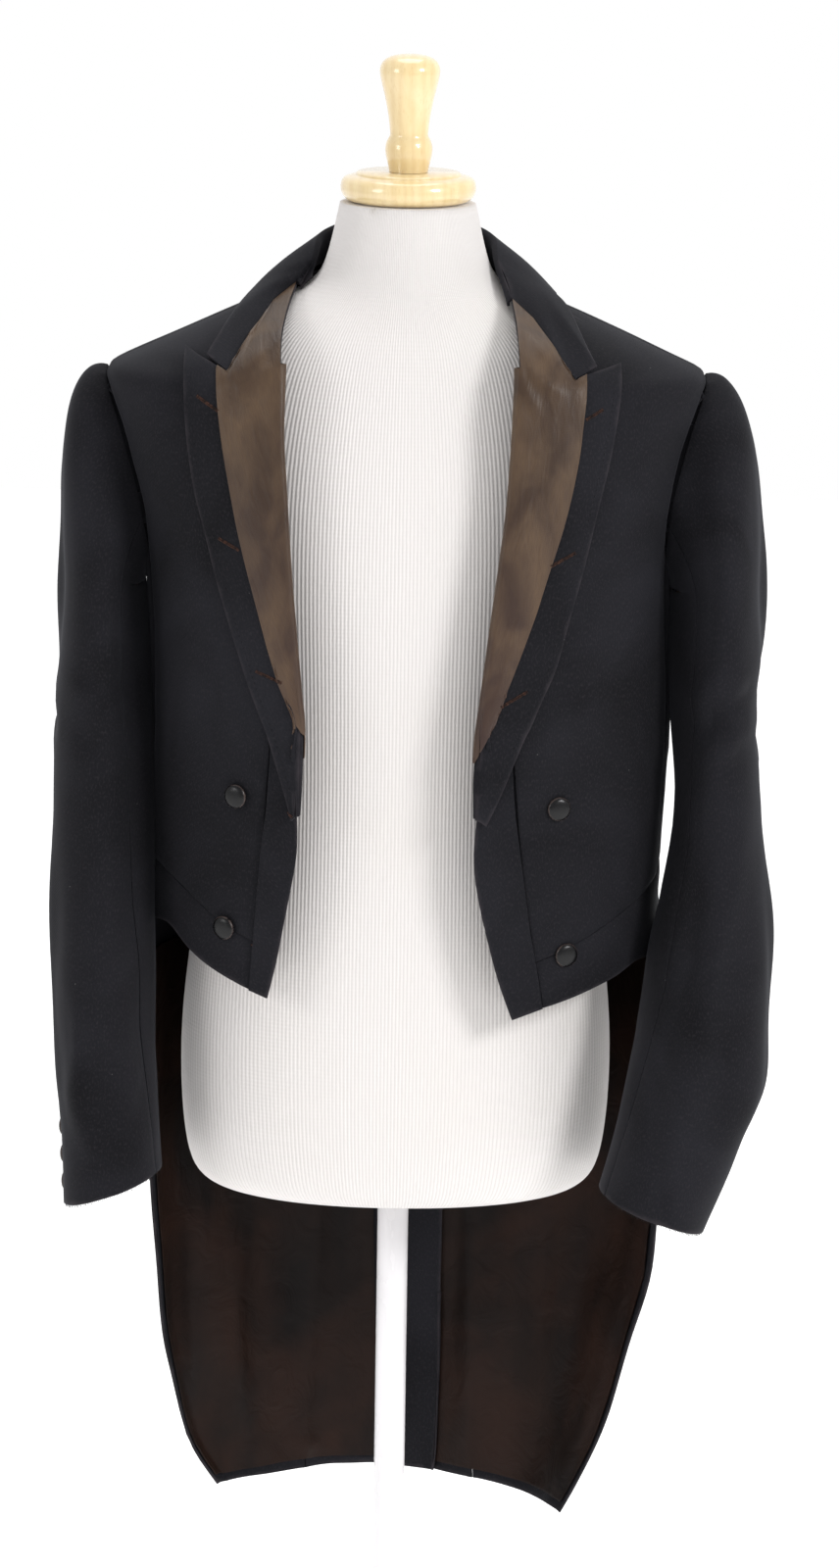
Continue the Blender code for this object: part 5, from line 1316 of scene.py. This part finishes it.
SILK_FOLDS = (
    Fold(View.FRONT, ((0.0780, 1.3130), (0.0978, 1.2959), (0.1165, 1.2800)), 0.0032, 0.0009),
    Fold(View.FRONT, ((0.0800, 1.3020), (0.0958, 1.2745), (0.1177, 1.2620)), 0.0032, 0.0008),
    Fold(View.FRONT, ((0.0830, 1.2850), (0.0930, 1.2600), (0.1020, 1.2450)), 0.0034, 0.0006),
    Fold(View.FRONT, ((-0.0900, 1.3020), (-0.1000, 1.2920), (-0.1150, 1.2800)), 0.0032, 0.0008),
    Fold(View.FRONT, ((-0.0980, 1.2790), (-0.1100, 1.2690), (-0.1270, 1.2600)), 0.0032, 0.0008),
    Fold(View.FRONT, ((-0.0950, 1.2600), (-0.1060, 1.2500), (-0.1180, 1.2440)), 0.0034, 0.0005),
    Fold(View.FRONT, ((0.0880, 1.2300), (0.0900, 1.1500), (0.0800, 1.0700)), 0.010, 0.0005),
    Fold(View.FRONT, ((-0.0950, 1.2300), (-0.0980, 1.1500), (-0.0880, 1.0700)), 0.010, 0.0005),
)


@dataclass
class CoatBody:
    """Foreparts, sidebodies and backs, with the brown lining on their inner sides."""

    neighbours: Neighbours
    tail_level: float = 0.80

    def build(self) -> dict[str, ClothPiece]:
        """Make the panels.

        Returns:
            Each panel by its solid's name.
        """
        pieces = {}
        for word in ("left", "right"):
            for part, levels in (("forepart", 3), ("sidebody", 2), ("back", 2)):
                node = f"{part}_{word}"
                pieces[node] = ClothPiece(node, folds=BODY_FOLDS + TAIL_FOLDS, levels=levels,
                                          far_folds=LINING_FOLDS, lining=LINING_CLOTH,
                                          lining_above=self.tail_level, allowance=0.005,
                                          allowance_above=self.tail_level)
        for piece in pieces.values():
            piece.build(self.neighbours)
        return pieces


@dataclass
class Tails:
    """The skirts and the brown lining on the inner side of the tails."""

    neighbours: Neighbours

    def build(self) -> dict[str, ClothPiece]:
        """Make skirts and linings.

        Returns:
            Each piece by its solid's name.
        """
        pieces = {}
        for word in ("left", "right"):
            node = f"skirt_{word}"
            pieces[node] = ClothPiece(node, folds=BODY_FOLDS + TAIL_FOLDS, far_folds=LINING_FOLDS,
                                      levels=2, held="hung",
                                      rests_on=(f"sidebody_{word}", f"back_{word}"))
            node = f"tail_lining_{word}"
            pieces[node] = ClothPiece(node, finish=LINING_CLOTH, wall=LINING, side=Side.INSIDE,
                                      folds=LINING_FOLDS, far_folds=BODY_FOLDS + TAIL_FOLDS, levels=2,
                                      uneven=-0.0006, lift=0.0003, seam_depth=0.0,
                                      slot="brown_lining", held="hung",
                                      rests_on=(f"skirt_{word}", f"back_{word}"))
        for piece in pieces.values():
            piece.build(self.neighbours)
        return pieces


@dataclass
class Lapels:
    """Turned lapels with their silk, and the collar."""

    neighbours: Neighbours
    silk_wall: float = 0.0008
    silk_clear: float = 0.0004
    silk_tip: float = 0.9860
    turn_in: float = 0.0080
    silk_edge: dict[str, tuple[tuple[float, float], ...]] = field(default_factory=lambda: {
        "left": ((0.9425, 0.0400), (0.9890, 0.0575), (1.0000, 0.0628), (1.0180, 0.0705),
                 (1.0430, 0.0800), (1.0700, 0.0900), (1.1000, 0.1005), (1.1290, 0.1090), (1.1590, 0.1185),
                 (1.1880, 0.1255), (1.2170, 0.1307), (1.2400, 0.1329), (1.2560, 0.1346), (1.2751, 0.1350)),
        "right": ((0.9430, 0.0500), (0.9990, 0.0678), (1.0080, 0.0738), (1.0190, 0.0795),
                  (1.0430, 0.0907), (1.0700, 0.0992), (1.0990, 0.1073), (1.1280, 0.1155), (1.1580, 0.1230),
                  (1.1870, 0.1288), (1.2170, 0.1345), (1.2400, 0.1378), (1.2560, 0.1394), (1.2773, 0.1405)),
    })

    def silk(self, word: str, under: Skin) -> ClothPiece:
        """Cut the silk out of a lapel's skin and lay it on: over the roll and a little way inside.

        Args:
            word: Side of the coat.
            under: The lapel's shaped skin.

        Returns:
            The silk.
        """
        node = f"silk_{word}"
        side = 1.0 if word == "left" else -1.0
        points, normals = under.points(), under.normals()
        across, height = side * points[:, 0], points[:, 2]
        levels = np.arange(height.min(), height.max(), 0.004)
        roll = np.interp(height, levels, [across[np.abs(height - z) < 0.006].min() for z in levels])
        edge = np.interp(height, *np.array(self.silk_edge[word]).T)
        shown = normals[:, 1] < 0.15
        inside = np.where(shown, edge - across, self.turn_in - (across - roll))
        inside = np.minimum(inside, height - self.silk_tip)
        sheet = bmesh.new()
        sheet.from_mesh(under.mesh)
        tree = BVHTree.FromBMesh(sheet)
        was = {vert: vert.index for vert in sheet.verts}
        rim = {vert for vert in sheet.verts if vert.is_boundary}
        bmesh.ops.delete(sheet, context="FACES", geom=[
            face for face in sheet.faces if np.mean([inside[vert.index] for vert in face.verts]) <= 0])
        loose = [v for v in sheet.verts if v.is_boundary and v not in rim]
        for vert in [v for v in loose if shown[was[v]]]:
            k = was[vert]
            start = Vector((side * edge[k], -1.0, max(height[k], self.silk_tip)))
            hit = tree.ray_cast(start, Vector((0.0, 1.0, 0.0)))[0]
            if hit is not None and (hit - vert.co).length < 0.0035:
                vert.co = hit
        for _ in range(6):
            for vert in loose:
                ends = [e.other_vert(vert).co for e in vert.link_edges if e.is_boundary]
                vert.co = tree.find_nearest((vert.co + sum(ends, Vector()) / len(ends)) / 2)[0]
        kept = [was[vert] for vert in sheet.verts]
        mesh = bpy.data.meshes.new(node)
        sheet.to_mesh(mesh)
        sheet.free()
        size = flat_size(mesh)
        skin = Skin(node, mesh, size, sum(polygon.area for polygon in mesh.polygons))
        points, lean = skin.points(), normals[kept]
        rise = self.silk_clear + self.silk_wall + 0.0005 * np.clip((1.04 - points[:, 2]) / 0.02, 0.0, 1.0)
        for fold in SILK_FOLDS:
            rise += np.maximum(fold.heights(points, lean), -0.0002)
        skin.move(points + lean * rise[:, None])
        mesh.attributes["edge"].data.foreach_set("value", np.zeros(len(points), np.float32))
        return ClothPiece(node, finish=SILK, wall=self.silk_wall, held="laid", slot="brown_silk",
                          rests_on=(f"lapel_{word}",), skin=skin)

    def build(self) -> dict[str, ClothPiece]:
        """Make lapels, silks and collar.

        Returns:
            Each piece by its solid's name.
        """
        pieces = {}
        for word in ("left", "right"):
            node = f"lapel_{word}"
            lapel = ClothPiece(node, folds=LAPEL_FOLDS, levels=3, uneven=0.0004, held="folded",
                               rests_on=(f"forepart_{word}",), seam_depth=0.0005)
            pieces[node] = lapel
            pieces[f"silk_{word}"] = self.silk(word, lapel.shape(self.neighbours))
        pieces["collar"] = ClothPiece("collar", side=Side.TOPMOST, levels=3, uneven=0.0004, held="folded",
                                      rests_on=("back_left", "back_right"), seam_depth=0.0005)
        for piece in pieces.values():
            piece.build(self.neighbours)
        return pieces


@dataclass
class Sleeves:
    """Topsleeves and undersleeves, hanging empty."""

    neighbours: Neighbours
    head_level: float = 1.10

    def build(self) -> dict[str, ClothPiece]:
        """Make the four halves.

        Returns:
            Each piece by its solid's name.
        """
        pieces = {}
        for word in ("left", "right"):
            for part, levels in (("topsleeve", 3), ("undersleeve", 2)):
                node = f"{part}_{word}"
                pieces[node] = ClothPiece(node, folds=SLEEVE_FOLDS, levels=levels, side=Side.CONVEX,
                                          uneven=0.0009, held="hung", lining=LINING_CLOTH,
                                          rests_on=(f"forepart_{word}", f"back_{word}"),
                                          allowance=0.007, allowance_above=self.head_level)
        for piece in pieces.values():
            skin = piece.shape(self.neighbours)
            skin.seam.update(skin.rim())
            piece.build(self.neighbours)
        return pieces


@dataclass
class Buttons:
    """Covered buttons: a domed mould under satin that is gathered behind its rim."""

    steps: int = 48
    profile: tuple[tuple[float, float], ...] = (
        (0.0, 1.00), (0.20, 0.99), (0.42, 0.955), (0.62, 0.89), (0.78, 0.79), (0.90, 0.65), (0.97, 0.49),
        (1.00, 0.33), (0.985, 0.19), (0.93, 0.08), (0.84, 0.02), (0.70, 0.0), (0.0, 0.0))

    def place(self, node: str) -> tuple[Vector, Vector, float, float]:
        """Where a button's solid is.

        Args:
            node: Name of the solid.

        Returns:
            Middle of its underside, its outward direction, its radius and its height.
        """
        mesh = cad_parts[node].data
        points = np.array([v.co for v in mesh.vertices])
        centre = points.mean(axis=0)
        _, _, axes = np.linalg.svd(points - centre)
        normal = axes[2]
        along = (points - centre) @ normal
        radii = np.linalg.norm(points - centre - along[:, None] * normal, axis=1)
        if radii[along > 0].max() > radii[along < 0].max():
            normal, along = -normal, -along
        return (Vector(centre + along.min() * normal), Vector(normal), float(radii.max()),
                float(along.max() - along.min()))

    def button(self, node: str) -> bpy.types.Object:
        """Make one covered button over its solid.

        Args:
            node: Name of the solid.

        Returns:
            The dressed button.
        """
        foot, normal, radius, height = self.place(node)
        turn = normal.to_track_quat("Z", "Y")
        points, faces, wear = [], [], []
        inner = self.profile[1:-1]
        for share, level in inner:
            for k in range(self.steps):
                angle = 2 * math.pi * k / self.steps
                gather = max(0.0, 0.45 - level) / 0.45
                r = radius * share * (1.0 - 0.022 * gather * (0.5 + 0.5 * math.cos(12 * angle + level)))
                points.append(foot + turn @ Vector((r * math.cos(angle), r * math.sin(angle), height * level)))
                wear.append(math.exp(-((share - 0.99) / 0.10) ** 2))
        for row in range(len(inner) - 1):
            for k in range(self.steps):
                a, b = row * self.steps + k, row * self.steps + (k + 1) % self.steps
                faces.append((a, a + self.steps, b + self.steps, b))
        points += [foot + normal * height, foot.copy()]
        wear += [0.0, 0.0]
        top, low, last = len(points) - 2, len(points) - 1, (len(inner) - 1) * self.steps
        for k in range(self.steps):
            after = (k + 1) % self.steps
            faces.append((k, after, top))
            faces.append((last + after, last + k, low))
        made = mesh_object(node + "_covered", points, faces)
        edge = made.data.attributes.new("edge", "FLOAT", "POINT")
        edge.data.foreach_set("value", np.array(wear, np.float32))
        made.data.materials.append(SATIN.material())
        made.data.shade_smooth()
        return dress(made, "worn_satin", node)

    def build(self) -> None:
        """Make all twelve."""
        for word in ("left", "right"):
            for k in (1, 2, 3):
                self.button(f"cuff_button_{word}_{k}")
            for level in ("upper", "lower"):
                self.button(f"front_button_{word}_{level}")
            self.button(f"waist_button_{word}")
        log.info("covered buttons: 12")


class Stitch(Enum):
    """Kinds of stitch: pitch along the path, then the stitch's own length and thickness."""

    EDGE = (0.0046, 0.0019, 0.00040)
    BUTTONHOLE = (0.00060, 0.0015, 0.00050)
    FRAY = (0.0012, 0.0030, 0.00022)


@dataclass
class Threadwork:
    """Edge stitching, worked buttonholes, and frayed threads, laid on the finished cloth."""

    skins: dict[str, ClothPiece]
    seed: int = 7

    def tree(self) -> bpy.types.NodeTree:
        """Geometry Nodes tree that sets stitches along paths, each turned to the path's run.

        Returns:
            The tree, made once.
        """
        made = bpy.data.node_groups.get("Stitches_on_paths")
        if made:
            return made
        made = bpy.data.node_groups.new("Stitches_on_paths", "GeometryNodeTree")
        made.interface.new_socket("Paths", in_out="INPUT", socket_type="NodeSocketGeometry")
        for name in ("Pitch", "Length", "Thickness"):
            made.interface.new_socket(name, in_out="INPUT", socket_type="NodeSocketFloat")
        made.interface.new_socket("Thread", in_out="INPUT", socket_type="NodeSocketMaterial")
        made.interface.new_socket("Seed", in_out="INPUT", socket_type="NodeSocketInt")
        made.interface.new_socket("Stitches", in_out="OUTPUT", socket_type="NodeSocketGeometry")
        entry = add_node(made, "NodeGroupInput")
        curves = add_node(made, "GeometryNodeMeshToCurve", {"Mesh": entry.outputs["Paths"]})
        spaced = add_node(made, "GeometryNodeResampleCurve",
                          {"Curve": curves.outputs[0], "Length": entry.outputs["Pitch"]}, mode="LENGTH")
        run = add_node(made, "GeometryNodeInputNamedAttribute", {"Name": "run"}, data_type="FLOAT_VECTOR")
        turn = add_node(made, "FunctionNodeAlignRotationToVector", {"Vector": run.outputs[0]}, axis="X")
        size = add_node(made, "FunctionNodeRandomValue",
                        {2: 0.85, 3: 1.15, "Seed": entry.outputs["Seed"]}, data_type="FLOAT")
        bead = add_node(made, "GeometryNodeMeshUVSphere", {"Segments": 6, "Rings": 4, "Radius": 0.5})
        shape = add_node(made, "ShaderNodeCombineXYZ",
                         {"X": entry.outputs["Length"], "Y": entry.outputs["Thickness"],
                          "Z": entry.outputs["Thickness"]})
        stitch = add_node(made, "GeometryNodeTransform",
                          {"Geometry": bead.outputs[0], "Scale": shape.outputs[0]})
        placed = add_node(made, "GeometryNodeInstanceOnPoints",
                          {"Points": spaced.outputs[0], "Instance": stitch.outputs[0],
                           "Rotation": turn.outputs[0], "Scale": size.outputs[1]})
        real = add_node(made, "GeometryNodeRealizeInstances", {"Geometry": placed.outputs[0]})
        thread = add_node(made, "GeometryNodeSetMaterial",
                          {"Geometry": real.outputs[0], "Material": entry.outputs["Thread"]})
        add_node(made, "NodeGroupOutput", {"Stitches": thread.outputs[0]})
        return made

    def sew(self, name: str, paths: list[list[tuple[Vector, Vector]]], kind: Stitch, thread: Finish,
            slot: str) -> bpy.types.Object:
        """Sew stitches along paths.

        Args:
            name: Name of the piece of thread.
            paths: Each path's points, each with the direction that its stitch lies in.
            kind: Kind of stitch.
            thread: Finish of the thread.
            slot: Passed on to dress.

        Returns:
            The threads as one plain mesh.
        """
        points, edges, runs = [], [], []
        for path in paths:
            first = len(points)
            points += [point for point, _ in path]
            runs += [tuple(run) for _, run in path]
            edges += [(k, k + 1) for k in range(first, len(points) - 1)]
        made = mesh_object(name, points, (), edges)
        run = made.data.attributes.new("run", "FLOAT_VECTOR", "POINT")
        run.data.foreach_set("vector", np.array(runs, np.float32).ravel())
        nodes = made.modifiers.new("stitches", "NODES")
        nodes.node_group = self.tree()
        values = dict(zip(("Pitch", "Length", "Thickness"), kind.value))
        values["Thread"] = thread.material()
        values["Seed"] = self.seed
        for item in nodes.node_group.interface.items_tree:
            if item.in_out == "INPUT" and item.name in values:
                nodes[item.identifier] = values[item.name]
        settle(made)
        made.data.shade_smooth()
        dress(made, slot)
        log.info("%s: %d faces", name, len(made.data.polygons))
        return made

    def cloth_tree(self) -> BVHTree:
        """One search tree over every shaped skin."""
        points, faces = [], []
        for piece in self.skins.values():
            first = len(points)
            mesh = piece.skin.mesh
            points += [tuple(vert.co) for vert in mesh.vertices]
            faces += [[first + k for k in polygon.vertices] for polygon in mesh.polygons]
        return BVHTree.FromPolygons(points, faces)

    def on_cloth(self, tree: BVHTree, view: View, path: list[tuple[float, float]], step: float = 0.0015,
                 lift: float = 0.0002) -> list[tuple[Vector, Vector, Vector]]:
        """Lay a drawn path on the cloth that is seen first.

        Args:
            tree: Search tree over the skins.
            view: Side that the path is drawn from.
            path: Points across and up.
            step: Distance between the points laid.
            lift: How far they stand off the cloth.

        Returns:
            Points with their directions along the path and the cloth's normals.
        """
        direction, across = view.value
        flat = []
        for a, b in zip(path[:-1], path[1:]):
            count = max(1, round(math.dist(a, b) / step))
            flat += [(a[0] + (b[0] - a[0]) * k / count, a[1] + (b[1] - a[1]) * k / count)
                     for k in range(count)]
        flat.append(path[-1])
        laid = []
        for u, z in flat:
            start = Vector((u, 0.0, z)) if across == 0 else Vector((0.0, u, z))
            hit, normal, *_ = tree.ray_cast(start + 0.6 * Vector(direction), -Vector(direction), 1.2)
            if hit is not None:
                normal = normal if normal.dot(Vector(direction)) > 0 else -normal
                laid.append((hit + normal * lift, normal))
        last = len(laid) - 1
        return [(p, (laid[min(k + 1, last)][0] - laid[max(k - 1, 0)][0]).normalized(), n)
                for k, (p, n) in enumerate(laid)]

    def buttonholes(self, tree: BVHTree) -> None:
        """Work each buttonhole as two rows of crosswise stitches with a bar at its inner end."""
        rows = []
        for a, b in BUTTONHOLES:
            along = (Vector(b) - Vector(a)).normalized()
            off = Vector((-along.y, along.x)) * 0.00062
            for sign in (1, -1):
                path = [tuple(Vector(a) + sign * off), tuple(Vector(b) + sign * off)]
                rows.append([(p, run.cross(n).normalized())
                             for p, run, n in self.on_cloth(tree, View.FRONT, path)])
            bar = [tuple(Vector(b) + 1.5 * off + along * 0.0004), tuple(Vector(b) - 1.5 * off + along * 0.0004)]
            rows.append([(p, run.cross(n).normalized())
                         for p, run, n in self.on_cloth(tree, View.FRONT, bar)])
        self.sew("buttonhole_stitches", rows, Stitch.BUTTONHOLE, TWIST, "black_wool")

    def edge_rows(self, tree: BVHTree) -> None:
        """Run the edge stitching 5 mm inside the lapels' free edges."""
        rows = []
        for word, sign in (("left", 1.0), ("right", -1.0)):
            path = [(sign * (x - 0.0052), z) for z, x in LAPEL_EDGES[word]]
            rows.append([(p, run) for p, run, _ in self.on_cloth(tree, View.FRONT, path, 0.004, 0.00005)])
        self.sew("edge_stitches", rows, Stitch.EDGE, BLACK_THREAD, "black_wool")

    def frayed_cuffs(self) -> None:
        """Let worn thread ends hang from the cuffs' hems."""
        chance = np.random.default_rng(self.seed)
        rows = []
        for name in ("topsleeve_left", "undersleeve_left", "topsleeve_right", "undersleeve_right"):
            skin = self.skins[name].skin
            points, normals = skin.points(), skin.normals()
            low = [k for k in skin.rim() if points[k, 2] < points[:, 2].min() + 0.045]
            centre = points[low].mean(axis=0)
            free = [k for k in low if points[k, 2] < 0.66]
            free.sort(key=lambda k: math.atan2(points[k, 1] - centre[1], points[k, 0] - centre[0]))
            for a, b in zip(free[:-1], free[1:]):
                if np.linalg.norm(points[a] - points[b]) > 0.008 or abs(points[a, 2] - points[b, 2]) > 0.004:
                    continue
                row = []
                for k in (a, b):
                    sway = chance.normal(0.0, 0.45, 3)
                    run = Vector((sway[0], sway[1], -1.0)).normalized()
                    spot = Vector(points[k]) - Vector(normals[k]) * 0.0009 + run * 0.0006
                    row.append((spot, run))
                rows.append(row)
        self.sew("frayed_cuff_threads", rows, Stitch.FRAY, BLACK_THREAD, "black_wool")

    def build(self) -> None:
        """Sew everything."""
        tree = self.cloth_tree()
        self.buttonholes(tree)
        self.edge_rows(tree)
        self.frayed_cuffs()


# Buttonholes as worked on the lapels and the strips below them: outer end, inner end
BUTTONHOLES = (
    ((-0.1544, 1.2549), (-0.1394, 1.2456)), ((-0.1370, 1.1500), (-0.1221, 1.1428)),
    ((-0.1079, 1.0521), (-0.0893, 1.0453)), ((-0.0862, 0.9468), (-0.0779, 0.9425)),
    ((-0.1089, 0.8408), (-0.0991, 0.8335)), ((0.1473, 1.2501), (0.1357, 1.2433)),
    ((0.1288, 1.1442), (0.1113, 1.1353)), ((0.0948, 1.0410), (0.0760, 1.0305)),
    ((0.0762, 0.9366), (0.0631, 0.9323)), ((0.1026, 0.8286), (0.0864, 0.8217)),
)

# Free edges of the turned lapels: height, x
LAPEL_EDGES = {
    "left": ((0.9600, 0.0754), (0.9854, 0.0856), (1.0060, 0.0940), (1.0350, 0.1065), (1.0570, 0.1158),
             (1.0880, 0.1236), (1.1180, 0.1317), (1.1470, 0.1390), (1.1760, 0.1455), (1.2050, 0.1523),
             (1.2300, 0.1568), (1.2530, 0.1600), (1.2690, 0.1612)),
    "right": ((0.9606, 0.0855), (0.9876, 0.0939), (1.0040, 0.0990), (1.0390, 0.1128), (1.0640, 0.1212),
              (1.0930, 0.1306), (1.1230, 0.1397), (1.1520, 0.1470), (1.1800, 0.1550), (1.2100, 0.1602),
              (1.2350, 0.1630), (1.2580, 0.1643), (1.2740, 0.1651)),
}


@dataclass
class Studio:
    """White paper floor, soft boxes, the camera and a white world behind."""

    camera_at: tuple[float, float, float] = (0.0155, -4.8907, 1.9786)
    pitch: float = 12.0
    roll: float = 0.9
    lens: float = 149.0
    paper_size: float = 14.0
    dim_front: float = 0.60

    def camera(self) -> None:
        """Set the camera that the photograph was taken with."""
        data = bpy.data.cameras.new("camera")
        data.sensor_fit = "VERTICAL"
        data.sensor_height = 36.0
        data.lens = self.lens
        data.clip_end = 100.0
        made = bpy.data.objects.new("camera", data)
        bpy.context.scene.collection.objects.link(made)
        looks = Matrix.Rotation(math.radians(90 - self.pitch), 4, "X") @ Matrix.Rotation(
            math.radians(self.roll), 4, "Z")
        made.matrix_world = Matrix.Translation(self.camera_at) @ looks
        bpy.context.scene.camera = made

    def floor(self) -> None:
        """Lay the paper."""
        half = self.paper_size / 2
        cells = 8
        points = [(-half + self.paper_size * i / cells, -half + self.paper_size * j / cells, -0.0005)
                  for j in range(cells + 1) for i in range(cells + 1)]
        faces = [(j * (cells + 1) + i, j * (cells + 1) + i + 1, (j + 1) * (cells + 1) + i + 1,
                  (j + 1) * (cells + 1) + i) for j in range(cells) for i in range(cells)]
        made = mesh_object("paper_floor", points, faces)
        made.data.materials.append(PAPER.material())

    def soft_box(self, name: str, place: tuple[float, float, float], size: float, power: float) -> None:
        """Hang a square soft box that looks at the coat's middle.

        Args:
            name: Name of the light.
            place: Where it hangs.
            size: Its side in metres.
            power: Its power in watts.
        """
        data = bpy.data.lights.new(name, "AREA")
        data.size = size
        data.energy = power
        made = bpy.data.objects.new(name, data)
        bpy.context.scene.collection.objects.link(made)
        aim = Vector((0.0, 0.0, 1.0)) - Vector(place)
        made.matrix_world = Matrix.Translation(place) @ aim.to_track_quat("-Z", "Y").to_matrix().to_4x4()

    def build(self) -> None:
        """Set camera, paper, lights and the surroundings, white behind the coat and dimmer in front."""
        self.camera()
        self.floor()
        self.soft_box("key_right", (2.8, -2.4, 2.9), 1.0, 82.0)
        self.soft_box("fill_left", (-3.0, -2.2, 2.2), 1.2, 24.0)
        self.soft_box("top", (0.0, 0.8, 4.0), 1.8, 30.0)
        world = bpy.data.worlds.new("studio")
        world.use_nodes = True
        tree = world.node_tree
        toward = add_node(tree, "ShaderNodeTexCoord").outputs["Generated"]
        away = add_node(tree, "ShaderNodeSeparateXYZ", {0: toward}).outputs["Y"]
        share = add_node(tree, "ShaderNodeMapRange", {0: away, 1: -0.5, 2: 0.6, 3: self.dim_front}).outputs[0]
        back = tree.nodes["Background"]
        back.inputs["Color"].default_value = linear("#ffffff")
        tree.links.new(share, back.inputs["Strength"])
        bpy.context.scene.world = world
        bpy.context.scene.view_settings.view_transform = "Standard"


def main() -> None:
    """Build the coat on its stand, and log the stand's pieces, the buttons and the threads."""
    logging.basicConfig(level=logging.INFO, format="%(name)s: %(message)s")
    cloth = [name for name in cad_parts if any(
        name.startswith(word) for word in ("forepart", "sidebody", "back", "skirt", "lapel", "collar",
                                           "topsleeve", "undersleeve"))]
    neighbours = Neighbours(cloth)
    Studio().build()
    Stand().build()
    pieces = CoatBody(neighbours).build()
    pieces.update(Tails(neighbours).build())
    pieces.update(Lapels(neighbours).build())
    pieces.update(Sleeves(neighbours).build())
    Buttons().build()
    Threadwork(pieces).build()


if __name__ == "__main__":
    main()
